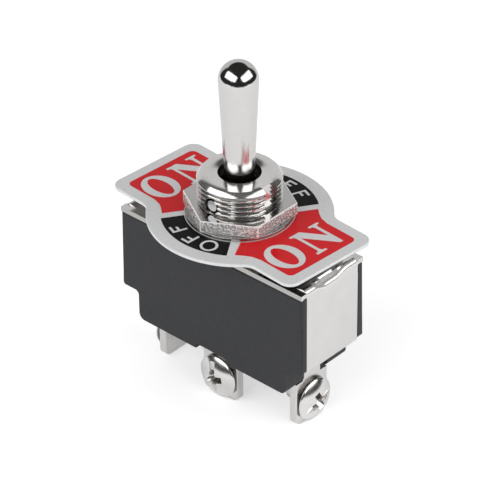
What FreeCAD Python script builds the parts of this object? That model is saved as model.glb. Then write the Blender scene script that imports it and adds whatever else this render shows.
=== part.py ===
import FreeCAD, Part
import math
import os
import Sketcher
from FreeCAD import Placement, Rotation, Vector

# A heavy-duty panel toggle switch, single pole, ON-OFF-ON, all sizes in
# millimetres and degrees. +Z runs up the threaded bushing, +X runs along the
# housing towards the keyway, and z = 0 is the plane that the three screw
# terminals stand on, with the bushing's axis through x = y = 0.
SIZES = {
    # Moulded housing: a wide upper block on a shorter lower block.
    "body_length": 33.75,
    "body_width": 12.78,
    "body_depth": 12.42,
    "lower_end_wall": 0.72,
    "lower_depth": 4.68,
    "foot_drop": 7.65,
    "floor_thick": 4.35,
    "end_wall": 3.675,
    "side_wall": 1.69,
    "cheek_width": 1.0,
    "bottom_radius": 1.0,
    "shoulder_radius": 0.7,
    "cheek_radius": 0.45,
    "end_notch_width": 5.0,
    "arch_width": 5.8,
    "arch_rise": 0.8,
    "arch_radius": 0.6,
    "seat_gap": 0.05,
    # Insulating card between the housing and the frame.
    "card_thick": 0.5,
    "card_ledge_length": 1.0,
    "card_ledge_width": 0.7,
    "card_edge": 0.05,
    # Folded sheet frame that holds the housing by its lips.
    "frame_sheet": 0.75,
    "frame_bend": 0.9,
    "frame_inner_bend": 0.15,
    "lip_reach": 1.7,
    "lip_drop": 0.3,
    "lip_bend": 0.35,
    "dart_width": 6.6,
    "dart_leg": 1.1,
    # Threaded bushing, staked through the frame.
    "thread_radius": 5.95,
    "thread_height": 0.24,
    "bushing_rise": 9.8,
    "bushing_bore": 3.0,
    "spigot_wall": 1.0,
    "bore_step_drop": 1.5,
    "stake_rim": 0.4,
    "thread_chamfer": 0.5,
    "keyway_width": 2.3,
    "keyway_depth": 0.8,
    # Lever on its cross pin.
    "pivot_rise": 6.9,
    "pivot_pin_radius": 0.8,
    "pivot_pin_inset": 0.35,
    "pin_running_gap": 0.06,
    "ball_radius": 2.8,
    "ball_rise": 24.3,
    "neck_radius": 2.1,
    "boss_radius": 2.65,
    "boss_length": 2.0,
    "shank_radius": 1.9,
    "shank_drop": 10.4,
    "spring_bore": 1.35,
    "spring_bore_drop": 2.8,
    # Spring-loaded plunger inside the lever.
    "plunger_gap": 0.07,
    "plunger_length": 7.5,
    "plunger_tip_gap": 0.12,
    "nose_length": 0.75,
    "nose_radius": 0.6,
    "coil_radius": 0.98,
    "wire_radius": 0.17,
    "coil_count": 5,
    # Rocker that tilts on a cradle over the centre terminal.
    "rocker_axis_rise": 1.65,
    "rocker_rise": 1.13,
    "rocker_thick": 0.8,
    "rocker_width": 4.3,
    "rocker_end_gap": 1.0,
    "vee_angle": 9.0,
    "vee_half_length": 4.4,
    "lug_half_width": 1.5,
    "lug_drop": 0.8,
    "lug_round": 0.64,
    "lug_thick": 0.6,
    "rocker_pin_radius": 0.5,
    "cradle_sheet": 0.6,
    "cradle_half_length": 2.2,
    "cradle_ear_gap": 0.15,
    "cradle_ear_half": 1.3,
    "cradle_ear_rise": 0.8,
    # Silver contacts.
    "contact_inset": 1.6,
    "contact_radius": 1.2,
    "button_thick": 0.6,
    "contact_gap": 0.05,
    "on_tilt": 7.0,
    # Brass screw terminals.
    "terminal_thick": 1.3,
    "terminal_neck": 3.6,
    "terminal_foot": 6.4,
    "terminal_foot_gap": 0.5,
    "terminal_foot_radius": 0.9,
    "terminal_bend": 0.8,
    "end_shelf": 4.1,
    "centre_inset": 0.15,
    "centre_shelf": 7.15,
    "slot_gap": 0.05,
    # Terminal screws.
    "screw_rise": 3.4,
    "screw_radius": 1.45,
    "screw_reach": 3.7,
    "head_radius": 3.25,
    "head_thick": 1.7,
    "slot_width": 0.7,
    "slot_depth": 0.6,
    # Panel hardware on the thread.
    "nut_wall": 1.05,
    "nut_thick": 1.9,
    "lower_nut_thick": 2.3,
    "lock_washer_rim": 0.85,
    "washer_rim": 1.6,
    "washer_thick": 0.5,
    "thread_gap": 0.1,
    # Indicator plate: a disc with two wings.
    "plate_thick": 0.5,
    "plate_radius": 13.0,
    "wing_length": 35.7,
    "wing_width": 16.1,
    "wing_corner": 1.7,
    "wing_fillet": 2.2,
    "plate_tab_width": 1.5,
    "plate_tab_reach": 0.5,
    "plate_turn": -3.8,
}


class Dim:
    """A size held both as a number and as a spreadsheet expression."""

    def __init__(self, number, text):
        self.number = float(number)
        self.text = text

    def __add__(self, other):
        other = dim(other)
        return Dim(self.number + other.number, f"({self.text} + {other.text})")

    def __sub__(self, other):
        other = dim(other)
        return Dim(self.number - other.number, f"({self.text} - {other.text})")

    def __mul__(self, other):
        other = dim(other)
        return Dim(self.number * other.number, f"({self.text} * {other.text})")

    def __truediv__(self, other):
        other = dim(other)
        return Dim(self.number / other.number, f"({self.text} / {other.text})")

    def __neg__(self):
        return Dim(-self.number, f"(0 - {self.text})")


def dim(value):
    """Return value as a Dim, taking a plain number as it is."""
    if isinstance(value, Dim):
        return value
    return Dim(value, repr(float(value)))


def sine(angle):
    """Sine of an angle in degrees."""
    return Dim(math.sin(math.radians(angle.number)), f"sin({angle.text})")


def cosine(angle):
    """Cosine of an angle in degrees."""
    return Dim(math.cos(math.radians(angle.number)), f"cos({angle.text})")


def tangent(angle):
    """Tangent of an angle in degrees."""
    return Dim(math.tan(math.radians(angle.number)), f"tan({angle.text})")


def fill_sheet(document):
    """Write every driving size into an aliased cell of the sheet."""
    sheet = document.addObject("Spreadsheet::Sheet", "Size")
    for row, (alias, number) in enumerate(SIZES.items(), start=1):
        sheet.set(f"A{row}", alias)
        sheet.set(f"B{row}", str(number))
        sheet.setAlias(f"B{row}", alias)
    document.recompute()
    return sheet


doc = FreeCAD.newDocument("panel_toggle_switch")
fill_sheet(doc)
size = {alias: Dim(number, f"Size.{alias}") for alias, number in SIZES.items()}
ZERO = dim(0)
HALF_HEX_ANGLE = dim(30)

# How far a cutter runs out past what it cuts, and how close two values count
# as equal.
PAST = dim(1)
TOLERANCE = 1e-4

# Places of the walls, the terminals, the rocker's ends and the contacts.
half_length = size["body_length"] / 2
half_width = size["body_width"] / 2
end_face = half_length - size["end_wall"]
chamber_side = half_width - size["side_wall"]
centre_face = chamber_side - size["centre_inset"]
rocker_end = end_face - size["rocker_end_gap"]
contact_offset = rocker_end - size["contact_inset"]

# Levels above the terminals' feet.
housing_bottom = size["foot_drop"]
shoulder = housing_bottom + size["lower_depth"]
housing_top = shoulder + size["body_depth"]
cavity_floor = housing_bottom + size["floor_thick"]
card_bottom = housing_top - size["card_thick"]
frame_top = housing_top + size["frame_sheet"]
bushing_top = frame_top + size["bushing_rise"]
pivot = frame_top + size["pivot_rise"]
ball_centre = frame_top + size["ball_rise"]
shank_end = pivot - size["shank_drop"]
shelf_top = cavity_floor + size["terminal_thick"]
rocker_axis = shelf_top + size["rocker_axis_rise"]
rocker_under = rocker_axis + size["rocker_rise"]
vee_rise = size["vee_half_length"] * tangent(size["vee_angle"])
rocker_end_under = rocker_under + vee_rise
plunger_tip = rocker_under + size["rocker_thick"] + size["plunger_tip_gap"]
plunger_top = plunger_tip + size["plunger_length"]
spring_top = pivot - size["spring_bore_drop"]
lower_nut_top = frame_top + size["lower_nut_thick"]
plate_bottom = lower_nut_top + size["washer_thick"]
plate_top = plate_bottom + size["plate_thick"]
nut_bottom = plate_top + size["washer_thick"]
nut_top = nut_bottom + size["nut_thick"]
button_face = rocker_end_under - size["button_thick"]
fixed_contact_top = (
    rocker_axis
    + (button_face - rocker_axis) * cosine(size["on_tilt"])
    - (contact_offset + size["contact_radius"]) * sine(size["on_tilt"])
    - size["contact_gap"]
)

# Half sizes and radii that several pieces share.
half_lower = end_face + size["lower_end_wall"]
end_recess = half_length - size["frame_sheet"] - size["seat_gap"]
frame_end = half_length - size["seat_gap"]
half_card = end_face + size["card_ledge_length"]
half_card_width = chamber_side + size["card_ledge_width"]
frame_end_width = size["body_width"] - size["cheek_width"] * 2
end_neck_inner = end_face - size["terminal_thick"]
thread_hole = size["thread_radius"] + size["thread_gap"]
pitch_radius = size["thread_radius"] - size["thread_height"]
nut_corner = (size["thread_radius"] + size["nut_wall"]) / cosine(HALF_HEX_ANGLE)
stake_radius = half_card_width - size["card_edge"] - size["seat_gap"]
spigot_radius = stake_radius - size["stake_rim"]


def bind(obj, **dims):
    """Bind properties of an object to sheet expressions."""
    for name, value in dims.items():
        obj.setExpression(name, dim(value).text)
    return obj


def place(obj, x=ZERO, y=ZERO, z=ZERO, rotation=None):
    """Turn an object and bind its position to sheet expressions."""
    if rotation is not None:
        obj.Placement = Placement(Vector(0, 0, 0), rotation)
    for axis, value in (("x", x), ("y", y), ("z", z)):
        obj.setExpression(f"Placement.Base.{axis}", dim(value).text)
    return obj


# Straight steps in one turn of the spring, and corners round its wire.
COIL_STEPS = 8
WIRE_CORNERS = 4

# Turns that lay an object's own Z axis along +X, -X, +Y or -Y.
ALONG_X = Rotation(Vector(0, 1, 0), 90)
ALONG_MINUS_X = Rotation(Vector(0, 1, 0), -90)
ALONG_Y = Rotation(Vector(1, 0, 0), -90)
ALONG_MINUS_Y = Rotation(Vector(1, 0, 0), 90)


def box(name, x, y, z):
    """A block between pairs of x, y and z values."""
    solid = doc.addObject("Part::Box", name)
    bind(solid, Length=x[1] - x[0], Width=y[1] - y[0], Height=z[1] - z[0])
    return place(solid, x[0], y[0], z[0])


def cylinder(name, radius, length, x=ZERO, y=ZERO, z=ZERO, rotation=None):
    """A round bar that starts at a point and runs along its own Z axis."""
    solid = doc.addObject("Part::Cylinder", name)
    bind(solid, Radius=radius, Height=length)
    return place(solid, x, y, z, rotation)


def cone(name, radius_low, radius_high, z_low, z_high):
    """A cone frustum about the Z axis, between two levels."""
    solid = doc.addObject("Part::Cone", name)
    bind(solid, Radius1=radius_low, Radius2=radius_high, Height=z_high - z_low)
    return place(solid, z=z_low)


def sphere(name, radius, z):
    """A ball on the Z axis."""
    solid = doc.addObject("Part::Sphere", name)
    bind(solid, Radius=radius)
    return place(solid, z=z)


def fuse(name, parts):
    """One solid from several that meet."""
    joined = doc.addObject("Part::MultiFuse", name)
    joined.Shapes = parts
    joined.Refine = True
    return joined


def cut(name, base, tools):
    """A solid with others taken away from it."""
    removed = tools[0]
    if len(tools) > 1:
        removed = fuse(f"{name}_tools", tools)
    result = doc.addObject("Part::Cut", name)
    result.Base = base
    result.Tool = removed
    result.Refine = True
    return result


def body(name):
    """An empty PartDesign body."""
    return doc.addObject("PartDesign::Body", name)


def sketch(owner, name, plane, outlines, offset=ZERO):
    """A fully constrained sketch of polygons, each point a pair of sizes."""
    drawing = owner.newObject("Sketcher::SketchObject", name)
    planes = [item for item in owner.Origin.OriginFeatures if item.Role == plane]
    drawing.AttachmentSupport = [(planes[0], "")]
    drawing.MapMode = "FlatFace"
    drawing.setExpression("AttachmentOffset.Base.z", dim(offset).text)
    for outline in outlines:
        draw_polygon(drawing, outline)
    return drawing


def draw_polygon(drawing, outline):
    """Add one closed polygon and pin each corner to the sketch origin."""
    points = [(dim(a), dim(b)) for a, b in outline]
    corners = [Vector(a.number, b.number, 0) for a, b in points]
    first = drawing.GeometryCount
    count = len(points)
    for index in range(count):
        edge = Part.LineSegment(corners[index], corners[(index + 1) % count])
        drawing.addGeometry(edge, False)
    for index in range(count):
        after = first + (index + 1) % count
        drawing.addConstraint(Sketcher.Constraint("Coincident", first + index, 2, after, 1))
    for index, (a, b) in enumerate(points):
        pin_corner(drawing, "DistanceX", first + index, a)
        pin_corner(drawing, "DistanceY", first + index, b)


def pin_corner(drawing, kind, edge, value):
    """Hold the start of an edge at a signed distance from the origin."""
    index = drawing.addConstraint(Sketcher.Constraint(kind, -1, 1, edge, 1, value.number))
    drawing.setExpression(f"Constraints[{index}]", value.text)


def rectangle(x, y):
    """Corners of a rectangle between two pairs of values."""
    return [(x[0], y[0]), (x[1], y[0]), (x[1], y[1]), (x[0], y[1])]


def feature(owner, kind, name, profile, length, symmetric):
    """A pad or pocket of a sketch."""
    step = owner.newObject(kind, name)
    step.Profile = profile
    if symmetric:
        step.SideType = "Symmetric"
    bind(step, Length=length)
    doc.recompute()
    return step


def pad(owner, name, profile, length, symmetric=True):
    """Grow a sketch into material."""
    return feature(owner, "PartDesign::Pad", name, profile, length, symmetric)


def pocket(owner, name, profile, length, symmetric=True):
    """Sink a sketch into the material, away from the sketch's normal."""
    before = owner.Shape.Volume
    step = feature(owner, "PartDesign::Pocket", name, profile, length, symmetric)
    if owner.Shape.Volume > before - TOLERANCE:
        raise RuntimeError(f"{name} removes nothing")
    return step


def near(value, target):
    """Whether a coordinate equals a size."""
    return abs(value - dim(target).number) < TOLERANCE


def straight(along):
    """Whether one component of an edge's direction says that it runs along that axis."""
    return near(abs(along), 1)


def edges_where(owner, test):
    """Names of the tip's edges whose middle point and direction pass a test."""
    names = []
    for index, edge in enumerate(owner.Shape.Edges, start=1):
        middle = edge.valueAt((edge.FirstParameter + edge.LastParameter) / 2)
        along = edge.tangentAt((edge.FirstParameter + edge.LastParameter) / 2)
        if test(middle, along):
            names.append(f"Edge{index}")
    return names


def fillet(owner, name, radius, test):
    """Round the edges that pass a test."""
    names = edges_where(owner, test)
    if not names:
        raise RuntimeError(f"{name} finds no edge")
    base = owner.Tip
    step = owner.newObject("PartDesign::Fillet", name)
    step.Base = (base, names)
    bind(step, Radius=radius)
    doc.recompute()
    return step


def make_housing():
    """Black phenolic moulding with recessed ends, cavity and terminal slots."""
    owner = body("housing")
    side = [
        (-half_lower, housing_bottom),
        (half_lower, housing_bottom),
        (half_lower, shoulder),
        (half_length, shoulder),
        (half_length, housing_top),
        (-half_length, housing_top),
        (-half_length, shoulder),
        (-half_lower, shoulder),
    ]
    block = sketch(owner, "housing_side", "XZ_Plane", [side])
    pad(owner, "housing_block", block, size["body_width"])
    fillet(owner, "housing_bottom_round", size["bottom_radius"],
           lambda p, t: straight(t.y) and near(p.z, housing_bottom))
    fillet(owner, "housing_inner_round", size["shoulder_radius"],
           lambda p, t: straight(t.y) and near(p.z, shoulder) and near(abs(p.x), half_lower))
    fillet(owner, "housing_cheek_round", size["cheek_radius"],
           lambda p, t: straight(t.y) and near(p.z, shoulder) and near(abs(p.x), half_length))
    housing_hollow(owner)
    housing_ends(owner)
    housing_slots(owner)
    return owner


def housing_hollow(owner):
    """Open the contact chamber and the ledge that the card lies on."""
    half_ledge = half_card + size["seat_gap"]
    hollow = sketch(owner, "chamber", "XZ_Plane",
                    [rectangle((-end_face, end_face), (cavity_floor, housing_top))])
    pocket(owner, "chamber_cut", hollow, chamber_side * 2)
    ledge = sketch(owner, "card_ledge", "XZ_Plane",
                   [rectangle((-half_ledge, half_ledge), (card_bottom, housing_top))])
    pocket(owner, "card_ledge_cut", ledge, half_card_width * 2 + size["seat_gap"] * 2)


def housing_ends(owner):
    """Recess both ends for the frame and open the lower block at the necks."""
    lip_inner = half_length - size["seat_gap"] - size["lip_reach"] - size["seat_gap"]
    lip_top = shoulder - size["lip_drop"] + size["frame_sheet"] + size["seat_gap"]
    outside = half_length + PAST
    recesses = []
    notches = []
    for side in (1, -1):
        recesses.append([
            (lip_inner * side, shoulder - size["lip_drop"]),
            (outside * side, shoulder - size["lip_drop"]),
            (outside * side, housing_top),
            (end_recess * side, housing_top),
            (end_recess * side, lip_top),
            (lip_inner * side, lip_top),
        ])
        notches.append(rectangle(
            (end_face * side, outside * side),
            (ZERO, shoulder)))
    ends = sketch(owner, "end_recesses", "XZ_Plane", recesses)
    pocket(owner, "end_recess_cut", ends, frame_end_width)
    openings = sketch(owner, "end_notches", "XZ_Plane", notches)
    pocket(owner, "end_notch_cut", openings, size["end_notch_width"])
    fillet(owner, "housing_bend_relief", size["frame_inner_bend"] + size["seat_gap"],
           lambda p, t: straight(t.y) and near(p.z, housing_top) and near(abs(p.x), end_recess))


def housing_slots(owner):
    """Cut the three terminal slots through the floor, and the front arch."""
    half_neck = size["terminal_neck"] / 2 + size["slot_gap"]
    front = -centre_face
    slots = [rectangle((-half_neck, half_neck),
                       (front - size["slot_gap"], front + size["terminal_thick"] + size["slot_gap"]))]
    for side in (1, -1):
        slots.append(rectangle(
            ((end_neck_inner - size["slot_gap"]) * side, end_face * side),
            (-half_neck, half_neck)))
    floor = sketch(owner, "terminal_slots", "XY_Plane", slots, offset=cavity_floor)
    pocket(owner, "terminal_slot_cut", floor, size["floor_thick"] + PAST, symmetric=False)
    half_arch = size["arch_width"] / 2
    arch_crown = housing_bottom + size["arch_rise"]
    arch = sketch(owner, "front_arch", "XZ_Plane",
                  [rectangle((-half_arch, half_arch),
                             (housing_bottom - PAST, arch_crown))],
                  offset=half_width)
    pocket(owner, "front_arch_cut", arch, half_width - centre_face, symmetric=False)
    fillet(owner, "front_arch_round", size["arch_radius"],
           lambda p, t: straight(t.y) and near(p.z, arch_crown) and near(abs(p.x), half_arch))


def make_frame():
    """Nickel-plated sheet folded over the housing, with crimped lips."""
    owner = body("frame")
    sheet = size["frame_sheet"]
    lip_low = shoulder - size["lip_drop"]
    inner = frame_end - sheet
    lip_inner = frame_end - size["lip_reach"]
    right = [
        (frame_end, frame_top),
        (frame_end, lip_low),
        (lip_inner, lip_low),
        (lip_inner, lip_low + sheet),
        (inner, lip_low + sheet),
        (inner, housing_top),
    ]
    left = [(-x, z) for x, z in reversed(right)]
    fold = sketch(owner, "frame_fold", "XZ_Plane", [right + left])
    pad(owner, "frame_channel", fold, frame_end_width - size["seat_gap"] * 2)
    fillet(owner, "frame_bends", size["frame_bend"],
           lambda p, t: straight(t.y) and near(p.z, frame_top) and near(abs(p.x), frame_end))
    fillet(owner, "frame_lip_bends", size["lip_bend"],
           lambda p, t: straight(t.y) and near(p.z, lip_low) and near(abs(p.x), frame_end))
    fillet(owner, "frame_inner_bends", size["frame_inner_bend"],
           lambda p, t: straight(t.y) and near(p.z, housing_top) and near(abs(p.x), inner))
    frame_margins(owner)
    frame_openings(owner)
    return owner


def frame_margins(owner):
    """Widen the deck to the housing's cheeks with flat, square-ended margins."""
    inside = frame_end_width / 2 - size["seat_gap"]
    strips = []
    for side in (1, -1):
        strips.append(rectangle((-frame_end, frame_end), (inside * side, half_width * side)))
    margins = sketch(owner, "deck_margins", "XY_Plane", strips, offset=housing_top)
    pad(owner, "deck_margin_sheet", margins, size["frame_sheet"], symmetric=False)


def frame_openings(owner):
    """Set the stiffening darts into the bends and pierce the bushing hole."""
    leg = size["dart_leg"]
    darts = []
    for side in (1, -1):
        darts.append([
            ((frame_end - leg) * side, frame_top),
            (frame_end * side, frame_top - leg),
            ((frame_end + leg) * side, frame_top - leg),
            ((frame_end + leg) * side, frame_top + leg),
            ((frame_end - leg) * side, frame_top + leg),
        ])
    dents = sketch(owner, "bend_darts", "XZ_Plane", darts)
    pocket(owner, "bend_dart_cut", dents, size["dart_width"])
    hole = owner.newObject("PartDesign::SubtractiveCylinder", "bushing_hole")
    bind(hole, Radius=spigot_radius, Height=size["frame_sheet"] + PAST)
    place(hole, z=housing_top)
    doc.recompute()


def make_card():
    """Fibre card that closes the contact chamber under the frame."""
    blank = box("card_blank", (-half_card, half_card), (-half_card_width, half_card_width),
                (card_bottom, housing_top))
    hole = cylinder("card_hole", stake_radius + size["seat_gap"], size["card_thick"], z=card_bottom)
    return cut("insulator_card", blank, [hole])


def make_bushing():
    """Threaded bushing with keyway, cross hole and staked lower flange.

    The fine thread is a plain cylinder: at its crests on the free end above
    the nut, and at its pitch line below, where the nuts meet its flanks.
    """
    taper = size["thread_chamfer"]
    thread = cylinder("bushing_thread", size["thread_radius"], bushing_top - taper - nut_top, z=nut_top)
    engaged = cylinder("bushing_engaged_thread", pitch_radius, nut_top - frame_top, z=frame_top)
    nose = cone("bushing_nose", size["thread_radius"], size["thread_radius"] - taper,
                bushing_top - taper, bushing_top)
    spigot = cylinder("bushing_spigot", spigot_radius, frame_top - card_bottom, z=card_bottom)
    stake = cylinder("bushing_stake", stake_radius, size["card_thick"], z=card_bottom)
    outside = fuse("bushing_outside", [thread, engaged, nose, spigot, stake])
    step = pivot - size["bore_step_drop"]
    upper = cylinder("bushing_upper_bore", size["bushing_bore"], bushing_top - step, z=step)
    lower = cylinder("bushing_lower_bore", spigot_radius - size["spigot_wall"], step - card_bottom,
                     z=card_bottom)
    keyway_floor = size["thread_radius"] - size["keyway_depth"]
    half_keyway = size["keyway_width"] / 2
    keyway = box("bushing_keyway", (keyway_floor, size["thread_radius"] + PAST),
                 (-half_keyway, half_keyway), (frame_top, bushing_top))
    cross = cylinder("bushing_cross_hole", size["pivot_pin_radius"], size["thread_radius"] * 2,
                     y=-size["thread_radius"], z=pivot, rotation=ALONG_Y)
    return cut("bushing", outside, [upper, lower, keyway, cross])


def make_pivot_pin():
    """Cross pin that carries the lever in the bushing."""
    reach = size["thread_radius"] - size["pivot_pin_inset"]
    return cylinder("pivot_pin", size["pivot_pin_radius"], reach * 2, y=-reach, z=pivot, rotation=ALONG_Y)


def make_lever():
    """Turned bat lever: ball end, tapered arm, pivot boss and hollow shank."""
    ball = sphere("lever_ball", size["ball_radius"], z=ball_centre)
    arm = cone("lever_arm", size["neck_radius"], size["ball_radius"], bushing_top, ball_centre)
    neck = cylinder("lever_neck", size["neck_radius"], bushing_top - pivot, z=pivot)
    boss = cylinder("lever_boss", size["boss_radius"], size["boss_length"],
                    z=pivot - size["boss_length"] / 2)
    shank = cylinder("lever_shank", size["shank_radius"], size["shank_drop"], z=shank_end)
    solid = fuse("lever_solid", [ball, arm, neck, boss, shank])
    bore = cylinder("lever_spring_bore", size["spring_bore"], spring_top - shank_end, z=shank_end)
    cross = cylinder("lever_cross_hole", size["pivot_pin_radius"] + size["pin_running_gap"],
                     size["boss_radius"] * 2, y=-size["boss_radius"], z=pivot, rotation=ALONG_Y)
    return cut("lever", solid, [bore, cross])


def make_plunger():
    """Round-nosed plunger that slides in the lever and presses the rocker."""
    radius = size["spring_bore"] - size["plunger_gap"]
    nose_end = plunger_tip + size["nose_length"]
    nose = cone("plunger_nose", size["nose_radius"], radius, plunger_tip, nose_end)
    stem = cylinder("plunger_stem", radius, plunger_top - nose_end, z=nose_end)
    return fuse("plunger", [nose, stem])


def make_spring():
    """Wire spring between the plunger and the end of the lever's bore."""
    wire = size["wire_radius"].number
    radius = size["coil_radius"].number
    span = (spring_top - plunger_top).number - wire * 2
    steps = int(COIL_STEPS * size["coil_count"].number)
    turn = 2 * math.pi / COIL_STEPS
    route = []
    for step in range(steps + 1):
        across = Vector(radius * math.cos(turn * step), radius * math.sin(turn * step), 0)
        route.append(across + Vector(0, 0, span * step / steps))
    path = Part.makePolygon(route)
    along = (route[1] - route[0]).normalize()
    side = along.cross(Vector(1, 0, 0)).normalize()
    out = side.cross(along).normalize()
    rim = []
    for corner in range(WIRE_CORNERS + 1):
        angle = 2 * math.pi * corner / WIRE_CORNERS
        rim.append(route[0] + out * (wire * math.cos(angle)) + side * (wire * math.sin(angle)))
    mitred = 1
    coil = doc.addObject("Part::Feature", "lever_spring")
    coil.Shape = path.makePipeShell([Part.makePolygon(rim)], True, False, mitred)
    return place(coil, z=plunger_top + size["wire_radius"])


def make_rocker():
    """Copper strip with a shallow vee for the plunger and two pivot lugs."""
    owner = body("rocker")
    thick = size["rocker_thick"]
    bend = size["vee_half_length"]
    end = rocker_end
    right = [
        (ZERO, rocker_under),
        (bend, rocker_end_under),
        (end, rocker_end_under),
        (end, rocker_end_under + thick),
        (bend, rocker_end_under + thick),
        (ZERO, rocker_under + thick),
    ]
    left = [(-x, z) for x, z in reversed(right[1:5])]
    strip = sketch(owner, "rocker_strip", "XZ_Plane", [right + left])
    pad(owner, "rocker_plate", strip, size["rocker_width"])
    half = size["lug_half_width"]
    lug_bottom = rocker_axis - size["lug_drop"]
    lug = sketch(owner, "rocker_lug", "XZ_Plane",
                 [rectangle((-half, half), (lug_bottom, rocker_under + thick / 2))])
    pad(owner, "rocker_lugs", lug, size["rocker_width"])
    between = size["rocker_width"] - size["lug_thick"] * 2
    wide = half + PAST
    slope_top = rocker_under + wide * tangent(size["vee_angle"])
    mouth = sketch(owner, "rocker_lug_gap", "XZ_Plane",
                   [[(-wide, lug_bottom - PAST),
                     (wide, lug_bottom - PAST),
                     (wide, slope_top),
                     (ZERO, rocker_under),
                     (-wide, slope_top)]])
    pocket(owner, "rocker_lug_gap_cut", mouth, between)
    fillet(owner, "rocker_lug_round", size["lug_round"],
           lambda p, t: straight(t.y) and near(p.z, lug_bottom))
    holes = owner.newObject("PartDesign::SubtractiveCylinder", "rocker_pin_hole")
    bind(holes, Radius=size["rocker_pin_radius"] + size["pin_running_gap"], Height=size["rocker_width"])
    place(holes, y=-size["rocker_width"] / 2, z=rocker_axis, rotation=ALONG_Y)
    doc.recompute()
    return owner


def make_rocker_contact(side, word):
    """Silver button brazed under one end of the rocker."""
    return cylinder(f"rocker_contact_{word}", size["contact_radius"], size["button_thick"],
                    x=contact_offset * side, z=button_face)


def make_fixed_contact(side, word):
    """Flat silver button brazed to one end terminal's shelf."""
    return cylinder(f"fixed_contact_{word}", size["contact_radius"], fixed_contact_top - shelf_top,
                    x=contact_offset * side, z=shelf_top)


def make_rocker_pin():
    """Pin that the rocker tilts on."""
    reach = cradle_outer()
    return cylinder("rocker_pin", size["rocker_pin_radius"], reach * 2, y=-reach, z=rocker_axis,
                    rotation=ALONG_Y)


def cradle_outer():
    """Half width over the cradle's ears."""
    return size["rocker_width"] / 2 + size["cradle_ear_gap"] + size["cradle_sheet"]


def make_cradle():
    """U-shaped bracket, welded to the centre terminal, that holds the rocker's pin."""
    owner = body("rocker_cradle")
    sheet = size["cradle_sheet"]
    outer = cradle_outer()
    inner = outer - sheet
    base = sketch(owner, "cradle_base", "XZ_Plane",
                  [rectangle((-size["cradle_half_length"], size["cradle_half_length"]),
                             (shelf_top, shelf_top + sheet))])
    pad(owner, "cradle_floor", base, outer * 2)
    ear = size["cradle_ear_half"]
    top = rocker_axis + size["cradle_ear_rise"]
    ears = sketch(owner, "cradle_ears", "XZ_Plane", [rectangle((-ear, ear), (shelf_top, top))])
    pad(owner, "cradle_walls", ears, outer * 2)
    gap = sketch(owner, "cradle_gap", "XZ_Plane",
                 [rectangle((-ear - PAST, ear + PAST), (shelf_top + sheet, top + PAST))])
    pocket(owner, "cradle_gap_cut", gap, inner * 2)
    pin_hole = owner.newObject("PartDesign::SubtractiveCylinder", "cradle_pin_hole")
    bind(pin_hole, Radius=size["rocker_pin_radius"], Height=outer * 2)
    place(pin_hole, y=-outer, z=rocker_axis, rotation=ALONG_Y)
    doc.recompute()
    return owner


def make_end_terminal(side, word):
    """Brass blade with a screw foot, a neck and a shelf for the contact."""
    name = f"terminal_{word}"
    owner = body(name)
    face = end_face * side
    back = end_neck_inner * side
    shelf_end = (end_face - size["end_shelf"]) * side
    bent = [(face, ZERO), (face, shelf_top), (shelf_end, shelf_top), (shelf_end, cavity_floor),
            (back, cavity_floor), (back, ZERO)]
    profile = sketch(owner, f"{name}_bend", "XZ_Plane", [bent])
    pad(owner, f"{name}_neck", profile, size["terminal_neck"])
    fillet(owner, f"{name}_bend_round", size["terminal_bend"],
           lambda p, t: straight(t.y) and near(p.z, shelf_top) and near(p.x, face))
    foot = sketch(owner, f"{name}_foot_side", "XZ_Plane",
                  [rectangle((back, face), (ZERO, housing_bottom - size["terminal_foot_gap"]))])
    pad(owner, f"{name}_foot", foot, size["terminal_foot"])
    half_foot = size["terminal_foot"] / 2
    fillet(owner, f"{name}_foot_round", size["terminal_foot_radius"],
           lambda p, t: straight(t.x) and near(p.z, ZERO) and near(abs(p.y), half_foot))
    turn = ALONG_X if side > 0 else ALONG_MINUS_X
    hole = owner.newObject("PartDesign::SubtractiveCylinder", f"{name}_screw_hole")
    bind(hole, Radius=size["screw_radius"], Height=size["terminal_thick"])
    place(hole, x=back, z=size["screw_rise"], rotation=turn)
    doc.recompute()
    return owner


def make_centre_terminal():
    """Brass blade at the front slot, bent back under the rocker's cradle."""
    name = "terminal_centre"
    owner = body(name)
    face = -centre_face
    back = face + size["terminal_thick"]
    shelf_end = face + size["centre_shelf"]
    bent = [(face, ZERO), (face, shelf_top), (shelf_end, shelf_top), (shelf_end, cavity_floor),
            (back, cavity_floor), (back, ZERO)]
    profile = sketch(owner, f"{name}_bend", "YZ_Plane", [bent])
    pad(owner, f"{name}_neck", profile, size["terminal_neck"])
    fillet(owner, f"{name}_bend_round", size["terminal_bend"],
           lambda p, t: straight(t.x) and near(p.z, shelf_top) and near(p.y, face))
    foot = sketch(owner, f"{name}_foot_side", "YZ_Plane",
                  [rectangle((face, back), (ZERO, housing_bottom - size["terminal_foot_gap"]))])
    pad(owner, f"{name}_foot", foot, size["terminal_foot"])
    half_foot = size["terminal_foot"] / 2
    fillet(owner, f"{name}_foot_round", size["terminal_foot_radius"],
           lambda p, t: straight(t.y) and near(p.z, ZERO) and near(abs(p.x), half_foot))
    hole = owner.newObject("PartDesign::SubtractiveCylinder", f"{name}_screw_hole")
    bind(hole, Radius=size["screw_radius"], Height=size["terminal_thick"])
    place(hole, y=back, z=size["screw_rise"], rotation=ALONG_MINUS_Y)
    doc.recompute()
    return owner


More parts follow.
